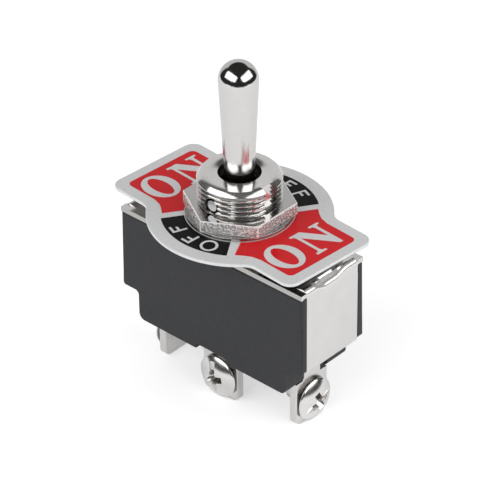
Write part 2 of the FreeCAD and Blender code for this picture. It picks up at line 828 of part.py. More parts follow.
def make_screw(word, x, y, rotation):
    """Slotted screw with a round head, made along +Z with its seat at the origin."""
    name = f"screw_{word}"
    owner = body(name)
    head = owner.newObject("PartDesign::AdditiveCylinder", f"{name}_head")
    bind(head, Radius=size["head_radius"], Height=size["head_thick"])
    shank = owner.newObject("PartDesign::AdditiveCylinder", f"{name}_shank")
    bind(shank, Radius=size["screw_radius"], Height=size["screw_reach"])
    place(shank, z=-size["screw_reach"])
    reach = size["head_radius"] + PAST
    half_slot = size["slot_width"] / 2
    slot = owner.newObject("PartDesign::SubtractiveBox", f"{name}_slot")
    bind(slot, Length=reach * 2, Width=size["slot_width"], Height=size["slot_depth"] + PAST)
    place(slot, x=-reach, y=-half_slot, z=size["head_thick"] - size["slot_depth"])
    doc.recompute()
    return place(owner, x, y, size["screw_rise"], rotation)


def hexagon(name, bottom, thick):
    """Six-sided block about the bushing's axis, with two of its corners on the Y axis."""
    prism = doc.addObject("Part::Prism", f"{name}_prism")
    prism.Polygon = 6
    bind(prism, Circumradius=nut_corner, Height=thick)
    return place(prism, z=bottom, rotation=Rotation(Vector(0, 0, 1), HALF_HEX_ANGLE.number))


def make_nut(name, bottom, thick):
    """Flat stamped nut, threaded on the bushing."""
    blank = hexagon(name, bottom, thick)
    hole = cylinder(f"{name}_thread_hole", pitch_radius, thick, z=bottom)
    return cut(name, blank, [hole])


def make_ring(name, bottom, rim):
    """Flat washer over the thread."""
    disc = cylinder(f"{name}_disc", thread_hole + rim, size["washer_thick"], z=bottom)
    hole = cylinder(f"{name}_hole", thread_hole, size["washer_thick"], z=bottom)
    return cut(name, disc, [hole])


def make_plate():
    """Aluminium indicator plate: a disc with two wings and a key tab."""
    owner = body("indicator_plate")
    half_wing = size["wing_length"] / 2
    half_wing_width = size["wing_width"] / 2
    wings = sketch(owner, "plate_wings", "XY_Plane",
                   [rectangle((-half_wing, half_wing), (-half_wing_width, half_wing_width))])
    pad(owner, "plate_wing_sheet", wings, size["plate_thick"], symmetric=False)
    disc = owner.newObject("PartDesign::AdditiveCylinder", "plate_disc")
    bind(disc, Radius=size["plate_radius"], Height=size["plate_thick"])
    doc.recompute()
    inside = (half_wing - size["wing_corner"] * 2).number
    fillet(owner, "plate_wing_corners", size["wing_corner"],
           lambda p, t: straight(t.z) and near(abs(p.x), half_wing))
    fillet(owner, "plate_waists", size["wing_fillet"],
           lambda p, t: straight(t.z) and near(abs(p.y), half_wing_width) and abs(p.x) < inside)
    hole = owner.newObject("PartDesign::SubtractiveCylinder", "plate_hole")
    bind(hole, Radius=thread_hole, Height=size["plate_thick"])
    doc.recompute()
    half_tab = size["plate_tab_width"] / 2
    tab = sketch(owner, "plate_tab", "XY_Plane",
                 [rectangle((thread_hole - size["plate_tab_reach"], thread_hole + PAST),
                            (-half_tab, half_tab))])
    pad(owner, "plate_key_tab", tab, size["plate_thick"], symmetric=False)
    place(owner, z=plate_bottom, rotation=Rotation(Vector(0, 0, 1), 1))
    bind(owner, **{"Placement.Rotation.Angle": size["plate_turn"]})
    return owner


def build():
    """Make every sub-part and return them by name."""
    pieces = [
        make_housing(),
        make_frame(),
        make_card(),
        make_bushing(),
        make_pivot_pin(),
        make_lever(),
        make_plunger(),
        make_spring(),
        make_rocker(),
        make_rocker_pin(),
        make_cradle(),
        make_centre_terminal(),
        make_nut("lower_nut", frame_top, size["lower_nut_thick"]),
        make_ring("lock_washer", lower_nut_top, size["lock_washer_rim"]),
        make_plate(),
        make_ring("flat_washer", plate_top, size["washer_rim"]),
        make_nut("hex_nut", nut_bottom, size["nut_thick"]),
    ]
    for side, word in ((1, "right"), (-1, "left")):
        pieces.append(make_rocker_contact(side, word))
        pieces.append(make_fixed_contact(side, word))
        pieces.append(make_end_terminal(side, word))
    pieces.append(make_screw("right", end_face, ZERO, ALONG_X))
    pieces.append(make_screw("left", -end_face, ZERO, ALONG_MINUS_X))
    pieces.append(make_screw("centre", ZERO, -centre_face, ALONG_MINUS_Y))
    return pieces


def check_document():
    """Stop if any object of the document failed to compute."""
    for item in doc.Objects:
        if "Invalid" in item.State or "Error" in item.State:
            raise RuntimeError(f"{item.Name} is {item.State}")


def write_steps(pieces):
    """Check each sub-part's shape and write it to its own file."""
    os.makedirs("parts", exist_ok=True)
    for piece in pieces:
        piece.Label = piece.Name
        shape = piece.Shape
        if shape.isNull() or not shape.isValid() or not shape.Solids:
            raise RuntimeError(f"{piece.Label} has no valid solid")
        shape.exportStep(os.path.join("parts", piece.Label + ".step"))


sub_parts = build()
doc.recompute()
check_document()
write_steps(sub_parts)
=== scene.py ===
import math

import bpy
from mathutils import Matrix, Vector


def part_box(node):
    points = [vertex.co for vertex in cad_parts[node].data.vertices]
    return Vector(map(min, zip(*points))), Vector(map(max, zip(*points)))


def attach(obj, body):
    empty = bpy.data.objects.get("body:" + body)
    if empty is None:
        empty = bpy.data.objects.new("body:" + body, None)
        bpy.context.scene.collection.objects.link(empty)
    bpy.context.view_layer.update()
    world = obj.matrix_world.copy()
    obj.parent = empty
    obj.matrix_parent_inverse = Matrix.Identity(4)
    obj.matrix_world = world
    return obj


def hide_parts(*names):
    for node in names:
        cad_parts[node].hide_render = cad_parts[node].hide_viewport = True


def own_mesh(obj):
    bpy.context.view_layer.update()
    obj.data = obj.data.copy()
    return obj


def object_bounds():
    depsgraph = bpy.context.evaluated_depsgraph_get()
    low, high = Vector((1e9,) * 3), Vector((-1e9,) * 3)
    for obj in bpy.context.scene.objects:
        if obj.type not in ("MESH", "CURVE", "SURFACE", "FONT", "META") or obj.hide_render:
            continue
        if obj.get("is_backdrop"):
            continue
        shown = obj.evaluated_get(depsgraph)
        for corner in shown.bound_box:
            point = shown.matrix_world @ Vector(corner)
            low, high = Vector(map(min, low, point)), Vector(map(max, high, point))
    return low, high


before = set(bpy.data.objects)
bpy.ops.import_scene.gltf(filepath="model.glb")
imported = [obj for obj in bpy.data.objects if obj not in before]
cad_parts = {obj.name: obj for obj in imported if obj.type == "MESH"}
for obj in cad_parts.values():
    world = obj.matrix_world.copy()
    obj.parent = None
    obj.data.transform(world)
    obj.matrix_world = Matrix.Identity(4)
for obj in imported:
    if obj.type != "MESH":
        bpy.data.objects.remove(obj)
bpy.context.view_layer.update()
MM = 0.001


# Moulding. The switch's case is one black phenolic moulding, compression
# moulded with sharp-looking edges that are only just broken. It carries the
# terminals through its floor and is held by the folded frame.


def deselect():
    """Leave object mode with nothing selected."""
    if bpy.context.object and bpy.context.object.mode != "OBJECT":
        bpy.ops.object.mode_set(mode="OBJECT")
    bpy.ops.object.select_all(action="DESELECT")


def choose(piece):
    """Make one object the only one selected."""
    deselect()
    piece.select_set(True)
    bpy.context.view_layer.objects.active = piece


def apply_modifier(piece, kind, **settings):
    """Add a modifier with its settings and apply it."""
    choose(piece)
    step = piece.modifiers.new(kind.title(), kind)
    for key, value in settings.items():
        setattr(step, key, value)
    bpy.ops.object.modifier_apply(modifier=step.name)


def solid_copy(name, node):
    """A copy of a CAD node with its flat faces whole again."""
    piece = bpy.data.objects.new(name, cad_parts[node].data.copy())
    bpy.context.scene.collection.objects.link(piece)
    piece.data.materials.clear()
    choose(piece)
    if piece.data.has_custom_normals:
        bpy.ops.mesh.customdata_custom_splitnormals_clear()
    bpy.ops.object.mode_set(mode="EDIT")
    bpy.ops.mesh.select_all(action="SELECT")
    bpy.ops.mesh.remove_doubles(threshold=0.002 * MM)
    bpy.ops.mesh.dissolve_limited(angle_limit=math.radians(1))
    bpy.ops.object.mode_set(mode="OBJECT")
    return piece


def mark(piece, name, values):
    """Store one number per face for a material to read."""
    layer = piece.data.attributes.new(name, "FLOAT", "FACE")
    layer.data.foreach_set("value", values)


def break_edges(piece, width, segments=2, angle=30):
    """Round every sharp edge a little, mark the rounding and keep broad faces flat."""
    piece.data.materials.clear()
    piece.data.materials.append(None)
    piece.data.materials.append(None)
    for polygon in piece.data.polygons:
        polygon.material_index = 0
    apply_modifier(piece, "BEVEL", width=width * MM, segments=segments, material=1,
                   limit_method="ANGLE", angle_limit=math.radians(angle))
    mark(piece, "rim", [float(polygon.material_index) for polygon in piece.data.polygons])
    smooth(piece)
    apply_modifier(piece, "WEIGHTED_NORMAL", mode="FACE_AREA", weight=100, keep_sharp=True)


def smooth(piece, angle=50):
    """Shade smooth except across sharp edges."""
    choose(piece)
    bpy.ops.object.shade_smooth_by_angle(angle=math.radians(angle))


def fit(piece, body, slot, material, *nodes):
    """Give a piece its finish and hang it on its body in place of its nodes."""
    piece.data.materials.clear()
    piece.data.materials.append(material)
    for polygon in piece.data.polygons:
        polygon.material_index = 0
    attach(piece, body)
    if nodes:
        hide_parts(*nodes)


def group(name, inputs, outputs):
    """An empty shader node group with number sockets."""
    tree = bpy.data.node_groups.new(name, "ShaderNodeTree")
    for label, value in inputs.items():
        socket = tree.interface.new_socket(label, in_out="INPUT", socket_type="NodeSocketFloat")
        socket.default_value = value
    for label in outputs:
        tree.interface.new_socket(label, in_out="OUTPUT", socket_type="NodeSocketFloat")
    return tree, tree.nodes.new("NodeGroupInput"), tree.nodes.new("NodeGroupOutput")


def in_millimetres(tree):
    """Object coordinates of a tree, counted in millimetres."""
    place = tree.nodes.new("ShaderNodeTexCoord")
    scaled = tree.nodes.new("ShaderNodeVectorMath")
    scaled.operation = "SCALE"
    scaled.inputs["Scale"].default_value = 1000
    tree.links.new(place.outputs["Object"], scaled.inputs[0])
    return scaled.outputs[0]


def grain_group():
    """Fine mottling: noise of a size in millimetres, spread about one half."""
    tree, given, result = group("Grain", {"Size": 0.2, "Contrast": 1.0}, ["Value"])
    noise = tree.nodes.new("ShaderNodeTexNoise")
    noise.inputs["Detail"].default_value = 4
    inverse = tree.nodes.new("ShaderNodeMath")
    inverse.operation = "DIVIDE"
    inverse.inputs[0].default_value = 1
    tree.links.new(given.outputs["Size"], inverse.inputs[1])
    tree.links.new(in_millimetres(tree), noise.inputs["Vector"])
    tree.links.new(inverse.outputs[0], noise.inputs["Scale"])
    spread = tree.nodes.new("ShaderNodeMath")
    spread.operation = "MULTIPLY_ADD"
    centred = tree.nodes.new("ShaderNodeMath")
    centred.operation = "SUBTRACT"
    centred.inputs[1].default_value = 0.5
    tree.links.new(noise.outputs["Fac"], centred.inputs[0])
    tree.links.new(centred.outputs[0], spread.inputs[0])
    tree.links.new(given.outputs["Contrast"], spread.inputs[1])
    spread.inputs[2].default_value = 0.5
    tree.links.new(spread.outputs[0], result.inputs["Value"])
    return tree


# This edge mask gives real wear on the case and painted highlights on the nut's and the plate's edges.
def wear_and_highlight_group():
    """Mask of a piece's rounded edges, broken up by noise."""
    tree, given, result = group("Edge wear and highlight", {"Breakup": 0.5}, ["Mask"])
    edge = tree.nodes.new("ShaderNodeAttribute")
    edge.attribute_name = "rim"
    noise = tree.nodes.new("ShaderNodeTexNoise")
    noise.inputs["Scale"].default_value = 1.6
    tree.links.new(in_millimetres(tree), noise.inputs["Vector"])
    faded = tree.nodes.new("ShaderNodeMath")
    faded.operation = "MULTIPLY"
    tree.links.new(noise.outputs["Fac"], faded.inputs[0])
    tree.links.new(given.outputs["Breakup"], faded.inputs[1])
    left = tree.nodes.new("ShaderNodeMath")
    left.operation = "SUBTRACT"
    left.use_clamp = True
    tree.links.new(edge.outputs["Fac"], left.inputs[0])
    tree.links.new(faded.outputs[0], left.inputs[1])
    tree.links.new(left.outputs[0], result.inputs["Mask"])
    return tree


def scratch_group():
    """Fine lines: noise drawn out along one axis, X, Y or Z."""
    tree, given, result = group("Brush lines", {"X": 0.05, "Y": 8.0, "Z": 8.0}, ["Value"])
    size = tree.nodes.new("ShaderNodeCombineXYZ")
    for axis in "XYZ":
        tree.links.new(given.outputs[axis], size.inputs[axis])
    scaled = tree.nodes.new("ShaderNodeVectorMath")
    scaled.operation = "MULTIPLY"
    tree.links.new(in_millimetres(tree), scaled.inputs[0])
    tree.links.new(size.outputs[0], scaled.inputs[1])
    noise = tree.nodes.new("ShaderNodeTexNoise")
    noise.inputs["Scale"].default_value = 1
    noise.inputs["Detail"].default_value = 3
    tree.links.new(scaled.outputs[0], noise.inputs["Vector"])
    tree.links.new(noise.outputs["Fac"], result.inputs["Value"])
    return tree


GRAIN = grain_group()
EDGE_WEAR_AND_HIGHLIGHT = wear_and_highlight_group()
LINES = scratch_group()


class Finish:
    """A material under construction, on its Principled BSDF."""

    def __init__(self, name, metallic=0.0, **sockets):
        self.material = bpy.data.materials.new(name)
        self.material.use_nodes = True
        self.tree = self.material.node_tree
        self.shader = self.tree.nodes["Principled BSDF"]
        self.shader.inputs["Metallic"].default_value = metallic
        for label, value in sockets.items():
            self.shader.inputs[label.replace("_", " ")].default_value = value

    def use(self, tree, output, **values):
        """Place a node group with its own values."""
        node = self.tree.nodes.new("ShaderNodeGroup")
        node.node_tree = tree
        for label, value in values.items():
            node.inputs[label].default_value = value
        return node.outputs[output]

    def marked(self, name):
        """Read the number that each face carries under a name."""
        node = self.tree.nodes.new("ShaderNodeAttribute")
        node.attribute_name = name
        return node.outputs["Fac"]

    def colour(self, factor, low, high):
        """Mix two colours by a factor."""
        node = self.tree.nodes.new("ShaderNodeMix")
        node.data_type = "RGBA"
        self.tree.links.new(factor, node.inputs["Factor"])
        for socket, value in ((node.inputs[6], low), (node.inputs[7], high)):
            if isinstance(value, bpy.types.NodeSocket):
                self.tree.links.new(value, socket)
            else:
                socket.default_value = (*value, 1)
        return node.outputs[2]

    def spread(self, value, low, high, from_low=0.0, from_high=1.0):
        """Map a value onto a range."""
        node = self.tree.nodes.new("ShaderNodeMapRange")
        self.tree.links.new(value, node.inputs["Value"])
        node.inputs["From Min"].default_value = from_low
        node.inputs["From Max"].default_value = from_high
        node.inputs["To Min"].default_value = low
        node.inputs["To Max"].default_value = high
        return node.outputs[0]

    def blend(self, factor, low, high):
        """Mix two plain numbers or values by a factor."""
        node = self.tree.nodes.new("ShaderNodeMix")
        self.tree.links.new(factor, node.inputs["Factor"])
        for socket, value in ((node.inputs[2], low), (node.inputs[3], high)):
            if isinstance(value, bpy.types.NodeSocket):
                self.tree.links.new(value, socket)
            else:
                socket.default_value = value
        return node.outputs[0]

    def bump(self, height, distance, strength=1.0):
        """Raise the surface by a height in millimetres."""
        node = self.tree.nodes.new("ShaderNodeBump")
        node.inputs["Distance"].default_value = distance * MM
        node.inputs["Strength"].default_value = strength
        self.tree.links.new(height, node.inputs["Height"])
        self.link(node.outputs[0], "Normal")

    def link(self, value, socket):
        """Feed a shader socket."""
        self.tree.links.new(value, self.shader.inputs[socket])


phenolic = Finish("Black phenolic", Specular_IOR_Level=0.35)
mottle = phenolic.use(GRAIN, "Value", Size=0.9, Contrast=1.3)
fine = phenolic.use(GRAIN, "Value", Size=0.12, Contrast=1.4)
worn = phenolic.use(EDGE_WEAR_AND_HIGHLIGHT, "Mask", Breakup=1.2)
filler = phenolic.use(GRAIN, "Value", Size=0.3, Contrast=2.0)
ground = phenolic.colour(filler, phenolic.colour(mottle, (0.020, 0.021, 0.024), (0.027, 0.028, 0.031)),
                         phenolic.colour(mottle, (0.029, 0.030, 0.033), (0.037, 0.038, 0.041)))
phenolic.link(phenolic.colour(worn, ground, (0.055, 0.055, 0.057)), "Base Color")
phenolic.link(phenolic.spread(fine, 0.40, 0.55), "Roughness")
phenolic.bump(fine, 0.012, 0.5)

# The upright corners at the case's ends are rounder than its other edges.
CORNER_ROUND = 0.4
CORNER_LENGTH = 5
CORNER_REACH = 13
CORNER_SIDE = 6.3


def upright_corner(start, end):
    """Whether an edge stands at one of the case's outer corners."""
    upright = (start.xy - end.xy).length < 0.01 * MM and abs(start.z - end.z) > CORNER_LENGTH * MM
    return upright and abs(start.x) > CORNER_REACH * MM and abs(start.y) > CORNER_SIDE * MM


case = solid_copy("case", "housing")
choose(case)
bpy.ops.object.mode_set(mode="EDIT")
bpy.ops.mesh.select_all(action="DESELECT")
bpy.ops.object.mode_set(mode="OBJECT")
for edge in case.data.edges:
    edge.select = upright_corner(*(case.data.vertices[index].co for index in edge.vertices))
bpy.ops.object.mode_set(mode="EDIT")
bpy.ops.mesh.select_mode(type="EDGE")
bpy.ops.mesh.bevel(offset=CORNER_ROUND * MM, segments=4, affect="EDGES")
bpy.ops.mesh.select_mode(type="VERT")
bpy.ops.object.mode_set(mode="OBJECT")
break_edges(case, width=0.13)
fit(case, "base", "moulding", phenolic.material, "housing")


# Frame. Nickel-plated mild steel strip, folded down over both ends of the
# case and crimped under its shoulders. A dart set into each bend stiffens
# the corner and leaves a bead that waves along the fold.

nickel = Finish("Nickel on steel", metallic=1.0)
patch = nickel.use(GRAIN, "Value", Size=3.0, Contrast=1.2)
speck = nickel.use(GRAIN, "Value", Size=0.25, Contrast=1.0)
bead_highlight = nickel.marked("bend")
plating = nickel.colour(patch, (0.79, 0.78, 0.77), (0.87, 0.86, 0.85))
edged = nickel.colour(nickel.marked("cut"), plating, (0.56, 0.55, 0.54))
# The bead is painted near-white and less metallic: a painted highlight.
nickel.link(nickel.colour(bead_highlight, edged, (0.98, 0.97, 0.96)), "Base Color")
nickel.link(nickel.spread(bead_highlight, 1.0, 0.62), "Metallic")
nickel.link(nickel.spread(bead_highlight, 0.12, 0.22), "Roughness")
nickel.bump(speck, 0.01, 0.15)

SHEET = 0.75
DECK_TOP = 25.5
LEG_FACE = 16.825
LEG_HALF = 5.29
MARGIN_HALF = 6.39
LIP_LEVEL = 12.03
BEND = 0.75
DIP = 0.62
RISE = 0.22
LIP_BEND = 0.35
LIP_REACH = 1.7
FOLD_REACH = 2.4
SEAT_RADIUS = 4.9
# The fold's outside, from the deck over the bend and down to the lip: how far
# each line lies in from the leg's face, its height, and its share of the dip.
FOLD = [(1.9, DECK_TOP, 0.06), (1.55, DECK_TOP + RISE * 0.2, 0.25), (1.25, DECK_TOP + RISE * 0.6, 0.55),
        (0.95, DECK_TOP + RISE * 0.92, 0.82)]
for step in range(9):
    angle = math.radians(90 * step / 8)
    FOLD.append((BEND - BEND * math.sin(angle), DECK_TOP + RISE - BEND + BEND * math.cos(angle), 1.0))
FOLD += [(0.0, DECK_TOP - 1.3, 0.6), (0.0, DECK_TOP - 1.8, 0.25), (0.0, DECK_TOP - 2.6, 0.0)]
for step in range(5):
    angle = math.radians(90 * step / 4)
    FOLD.append((LIP_BEND - LIP_BEND * math.cos(angle),
                 LIP_LEVEL + LIP_BEND - LIP_BEND * math.sin(angle), 0.0))
FOLD.append((LIP_REACH, LIP_LEVEL, 0.0))
DECK_REACH = LEG_FACE - FOLD_REACH


def dip(across):
    """How far the dart presses the bend down at a place across the strip, from 0 to 1."""
    middle = -0.3
    inner = 0.9
    outer = 3.4
    share = min(max((outer - abs(across - middle)) / (outer - inner), 0), 1)
    return share * share * (3 - 2 * share)


def combine(piece, tool, operation):
    """Join, cut or keep the shared part, and drop the tool."""
    apply_modifier(piece, "BOOLEAN", object=tool, operation=operation, solver="EXACT")
    bpy.data.objects.remove(tool)


def block(name, low, high):
    """A box between two corners in millimetres."""
    deselect()
    centre = [(a + b) / 2 * MM for a, b in zip(low, high)]
    bpy.ops.mesh.primitive_cube_add(size=1, location=centre)
    piece = bpy.context.object
    piece.name = name
    piece.scale = [(b - a) * MM for a, b in zip(low, high)]
    bpy.ops.object.transform_apply(location=True, rotation=True, scale=True)
    return piece


def bar(name, radius, length, centre, turn=(0, 0, 0), vertices=48):
    """A round bar about a centre in millimetres."""
    deselect()
    bpy.ops.mesh.primitive_cylinder_add(vertices=vertices, radius=radius * MM, depth=length * MM,
                                        location=[value * MM for value in centre], rotation=turn)
    piece = bpy.context.object
    piece.name = name
    bpy.ops.object.transform_apply(location=True, rotation=True, scale=True)
    return piece


def folded_strip():
    """The strip's outer skin over both ends, as one sheet."""
    deselect()
    bpy.ops.mesh.primitive_grid_add(x_subdivisions=1, y_subdivisions=48, size=1)
    strip = bpy.context.object
    strip.name = "strap"
    strip.scale = (DECK_REACH * 2 * MM, LEG_HALF * 2 * MM, 1)
    strip.location = (0, 0, DECK_TOP * MM)
    bpy.ops.object.transform_apply(location=True, rotation=True, scale=True)
    for side in (1, -1):
        choose(strip)
        bpy.ops.object.mode_set(mode="EDIT")
        bpy.ops.mesh.select_all(action="DESELECT")
        bpy.ops.object.mode_set(mode="OBJECT")
        for vertex in strip.data.vertices:
            vertex.select = abs(vertex.co.x - side * DECK_REACH * MM) < 0.001 * MM
        bpy.ops.object.mode_set(mode="EDIT")
        bpy.ops.mesh.select_mode(type="EDGE")
        reach = DECK_REACH
        level = DECK_TOP
        for inset, height, share in FOLD:
            bpy.ops.mesh.extrude_region_move(TRANSFORM_OT_translate={
                "value": (side * (LEG_FACE - inset - reach) * MM, 0, (height - level) * MM)})
            reach = LEG_FACE - inset
            level = height
        bpy.ops.mesh.select_mode(type="VERT")
        bpy.ops.object.mode_set(mode="OBJECT")
    shares = {(round(LEG_FACE - inset, 2), round(height, 2)): share for inset, height, share in FOLD}
    for vertex in strip.data.vertices:
        key = (round(abs(vertex.co.x) / MM, 2), round(vertex.co.z / MM, 2))
        vertex.co.z -= DIP * MM * shares.get(key, 0.0) * dip(vertex.co.y / MM)
    return strip


strap = folded_strip()
choose(strap)
bpy.ops.object.mode_set(mode="EDIT")
bpy.ops.mesh.select_all(action="SELECT")
bpy.ops.mesh.normals_make_consistent(inside=False)
bpy.ops.object.mode_set(mode="OBJECT")
apply_modifier(strap, "SOLIDIFY", thickness=SHEET * MM, offset=-1, use_even_offset=True)
for side in (1, -1):
    margin = block("margin", (-LEG_FACE, min(side * LEG_HALF, side * MARGIN_HALF), DECK_TOP - SHEET),
                   (LEG_FACE, max(side * LEG_HALF, side * MARGIN_HALF), DECK_TOP))
    combine(strap, margin, "UNION")
seat = bar("bushing_seat", radius=SEAT_RADIUS, length=3, centre=(0, 0, 25), vertices=96)
combine(strap, seat, "DIFFERENCE")
break_edges(strap, width=0.12)

# The bead and the sheared sides, told by their places and by how they face. The bead's faces carry a painted
# highlight.
BEAD_LOW = 24.1
BEAD_INNER = 15.9
BEAD_SLOPE = (0.12, 0.985)
CUT_LOW = 24.7
CUT_SIDE = 6.3
SIDEWAYS = 0.9
bend = []
cut = []
for polygon in strap.data.polygons:
    level = polygon.center.z / MM
    reach = abs(polygon.center.x) / MM
    across = abs(polygon.center.y)
    sloped = BEAD_SLOPE[0] < polygon.normal.z < BEAD_SLOPE[1]
    bend.append(float(level > BEAD_LOW and reach > BEAD_INNER and across < LEG_HALF * MM and sloped))
    cut.append(float(level > CUT_LOW and abs(polygon.normal.y) > SIDEWAYS and across > CUT_SIDE * MM))
mark(strap, "bend", bend)
mark(strap, "cut", cut)
fit(strap, "base", "frame_plating", nickel.material, "frame")


# Chamber. The fibre card closes the contact chamber, where a copper rocker
# with silver buttons tilts on a pin and makes one end circuit at a time.

fibre = Finish("Red fibre")
flecks = fibre.use(GRAIN, "Value", Size=0.35, Contrast=1.6)
fibre.link(fibre.colour(flecks, (0.18, 0.05, 0.03), (0.30, 0.10, 0.06)), "Base Color")
fibre.link(fibre.spread(flecks, 0.6, 0.8), "Roughness")
fibre.bump(flecks, 0.02, 0.4)

copper = Finish("Rolled copper", metallic=1.0)
rolled = copper.use(LINES, "Value", X=0.2, Y=9.0, Z=9.0)
copper.link(copper.colour(rolled, (0.78, 0.38, 0.24), (0.90, 0.50, 0.34)), "Base Color")
copper.link(copper.spread(rolled, 0.22, 0.40), "Roughness")
copper.bump(rolled, 0.01, 0.4)

silver = Finish("Contact silver", metallic=1.0)
dull = silver.use(GRAIN, "Value", Size=0.3, Contrast=1.0)
silver.link(silver.colour(dull, (0.80, 0.79, 0.76), (0.90, 0.89, 0.87)), "Base Color")
silver.link(silver.spread(dull, 0.25, 0.45), "Roughness")

spring_steel = Finish("Spring wire", metallic=1.0)
drawn = spring_steel.use(GRAIN, "Value", Size=0.2, Contrast=1.0)
spring_steel.link(spring_steel.colour(drawn, (0.45, 0.45, 0.46), (0.60, 0.60, 0.61)), "Base Color")
spring_steel.link(spring_steel.spread(drawn, 0.2, 0.35), "Roughness")

brass = Finish("Turned brass", metallic=1.0)
turning = brass.use(LINES, "Value", X=0.3, Y=0.3, Z=12.0)
brass.link(brass.colour(turning, (0.66, 0.46, 0.20), (0.80, 0.60, 0.30)), "Base Color")
brass.link(brass.spread(turning, 0.2, 0.4), "Roughness")


def finish_node(node, material):
    """Give a CAD node its finish."""
    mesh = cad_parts[node].data
    mesh.materials.clear()
    mesh.materials.append(material)


finish_node("insulator_card", fibre.material)
finish_node("rocker", copper.material)
finish_node("rocker_cradle", brass.material)
finish_node("rocker_pin", nickel.material)
finish_node("plunger", brass.material)
for side in ("left", "right"):
    finish_node(f"rocker_contact_{side}", silver.material)
    finish_node(f"fixed_contact_{side}", silver.material)


# Bushing. Turned from bar, with a fine thread rolled down to the shoulder, a
# relief under its chamfered nose, a keyway milled down one side and a cross
# hole for the lever's pin. It is nickel plated and staked through the frame.

THREAD_CREST = 5.94
THREAD_ROOT = 5.56
THREAD_PITCH = 0.75
THREAD_LOW = 30.4
THREAD_HIGH = 34.4
THREAD_RUN_IN = 0.3
THREAD_RUN_OUT = 0.2
RIDGE_STEEPNESS = 1.3
ROWS = 48
BORE_RADIUS = 3.0
CHAMBER_RADIUS = 3.9
CHAMBER_TOP = 30.9
STAKE_RADIUS = 5.3
STAKE_FOOT = 24.25
BODY_RADIUS = 5.66
NOSE_TOP = 35.3
PIN_HEIGHT = 32.4
KEYWAY_FLOOR = 5.15
KEYWAY_HALF = 1.15
CROSS_HOLE = 0.86
MOUTH_RADIUS = 1.15
MOUTH_DEPTH = 1.8
MOUTH_PLACE = 5.5
BUSHING_PROFILE = [
    (BORE_RADIUS, 35.18), (BORE_RADIUS, CHAMBER_TOP), (CHAMBER_RADIUS, CHAMBER_TOP),
    (CHAMBER_RADIUS, STAKE_FOOT), (STAKE_RADIUS, STAKE_FOOT), (STAKE_RADIUS, DECK_TOP - SHEET),
    (SEAT_RADIUS, DECK_TOP - SHEET), (SEAT_RADIUS, DECK_TOP), (BODY_RADIUS, DECK_TOP), (BODY_RADIUS, 30.2),
]
for row in range(ROWS + 1):
    BUSHING_PROFILE.append((THREAD_ROOT, THREAD_LOW + (THREAD_HIGH - THREAD_LOW) * row / ROWS))
BUSHING_PROFILE += [
    (5.62, 34.46), (5.88, 34.52), (5.95, 34.58), (5.95, 34.64), (5.9, 34.72), (5.44, 35.22), (5.36, 35.28),
    (5.26, NOSE_TOP), (3.14, NOSE_TOP), (3.04, 35.26),
]


def turned(name, profile, segments=96, closed=False):
    """A piece turned about the bushing's axis from radius and height pairs."""
    deselect()
    radius, height = profile[0]
    bpy.ops.mesh.primitive_circle_add(vertices=segments, radius=radius * MM, fill_type="NOTHING")
    piece = bpy.context.object
    piece.name = name
    bpy.ops.object.mode_set(mode="EDIT")
    bpy.ops.mesh.select_all(action="SELECT")
    bpy.ops.transform.translate(value=(0, 0, height * MM))
    stops = profile[1:] + profile[:1] * closed
    for next_radius, next_height in stops:
        bpy.ops.mesh.extrude_region_move(TRANSFORM_OT_translate={
            "value": (0, 0, (next_height - height) * MM)})
        scale = next_radius / radius
        bpy.ops.transform.resize(value=(scale, scale, 1), center_override=(0, 0, next_height * MM))
        radius, height = next_radius, next_height
    bpy.ops.mesh.select_all(action="SELECT")
    bpy.ops.mesh.remove_doubles(threshold=0.0005 * MM)
    bpy.ops.mesh.select_all(action="DESELECT")
    bpy.ops.mesh.select_non_manifold()
    if not closed:
        bpy.ops.mesh.fill_holes(sides=0)
    bpy.ops.mesh.select_all(action="SELECT")
    bpy.ops.mesh.normals_make_consistent(inside=False)
    bpy.ops.object.mode_set(mode="OBJECT")
    return piece


def roll_thread(piece):
    """Raise the helical ridge out of the thread's rows."""
    for vertex in piece.data.vertices:
        radius = math.hypot(vertex.co.x, vertex.co.y) / MM
        level = vertex.co.z / MM
        if abs(radius - THREAD_ROOT) > 0.01 or not THREAD_LOW < level < THREAD_HIGH:
            continue
        turn_share = math.atan2(vertex.co.y, vertex.co.x) / (2 * math.pi)
        phase = (level / THREAD_PITCH - turn_share) % 1
        ridge = min(RIDGE_STEEPNESS * (1 - abs(2 * phase - 1)), 1)
        ends = min((level - THREAD_LOW) / THREAD_RUN_IN, (THREAD_HIGH - level) / THREAD_RUN_OUT, 1)
        grown = 1 + (THREAD_CREST - THREAD_ROOT) * ridge * ends / THREAD_ROOT
        vertex.co.x *= grown
        vertex.co.y *= grown


plated_brass = Finish("Nickel on brass", metallic=0.9)
pitting = plated_brass.use(GRAIN, "Value", Size=0.12, Contrast=1.0)
tint = plated_brass.use(GRAIN, "Value", Size=1.5, Contrast=1.4)
coating = plated_brass.colour(tint, (0.80, 0.785, 0.77), (0.92, 0.905, 0.89))
# The bore, the keyway's walls, the hole mouths and the grooves turn dark brown-grey here: painted shade.
shaded = plated_brass.colour(plated_brass.marked("painted_shade"), coating, (0.17, 0.15, 0.135))
plated_brass.link(shaded, "Base Color")
plated_brass.link(plated_brass.spread(tint, 0.09, 0.16), "Roughness")
plated_brass.bump(pitting, 0.004, 0.25)

collar = turned("collar", BUSHING_PROFILE, closed=True)
roll_thread(collar)
keyway = block("keyway", (KEYWAY_FLOOR, -KEYWAY_HALF, 25.7), (6.6, KEYWAY_HALF, 35.6))
combine(collar, keyway, "DIFFERENCE")
along_y = (math.pi / 2, 0, 0)
hole = bar("cross_hole", radius=CROSS_HOLE, length=13, centre=(0, 0, PIN_HEIGHT), turn=along_y)
combine(collar, hole, "DIFFERENCE")
for side in (1, -1):
    mouth = bar("hole_mouth", radius=MOUTH_RADIUS, length=MOUTH_DEPTH,
                centre=(0, side * MOUTH_PLACE, PIN_HEIGHT), turn=along_y)
    combine(collar, mouth, "DIFFERENCE")
smooth(collar, angle=40)
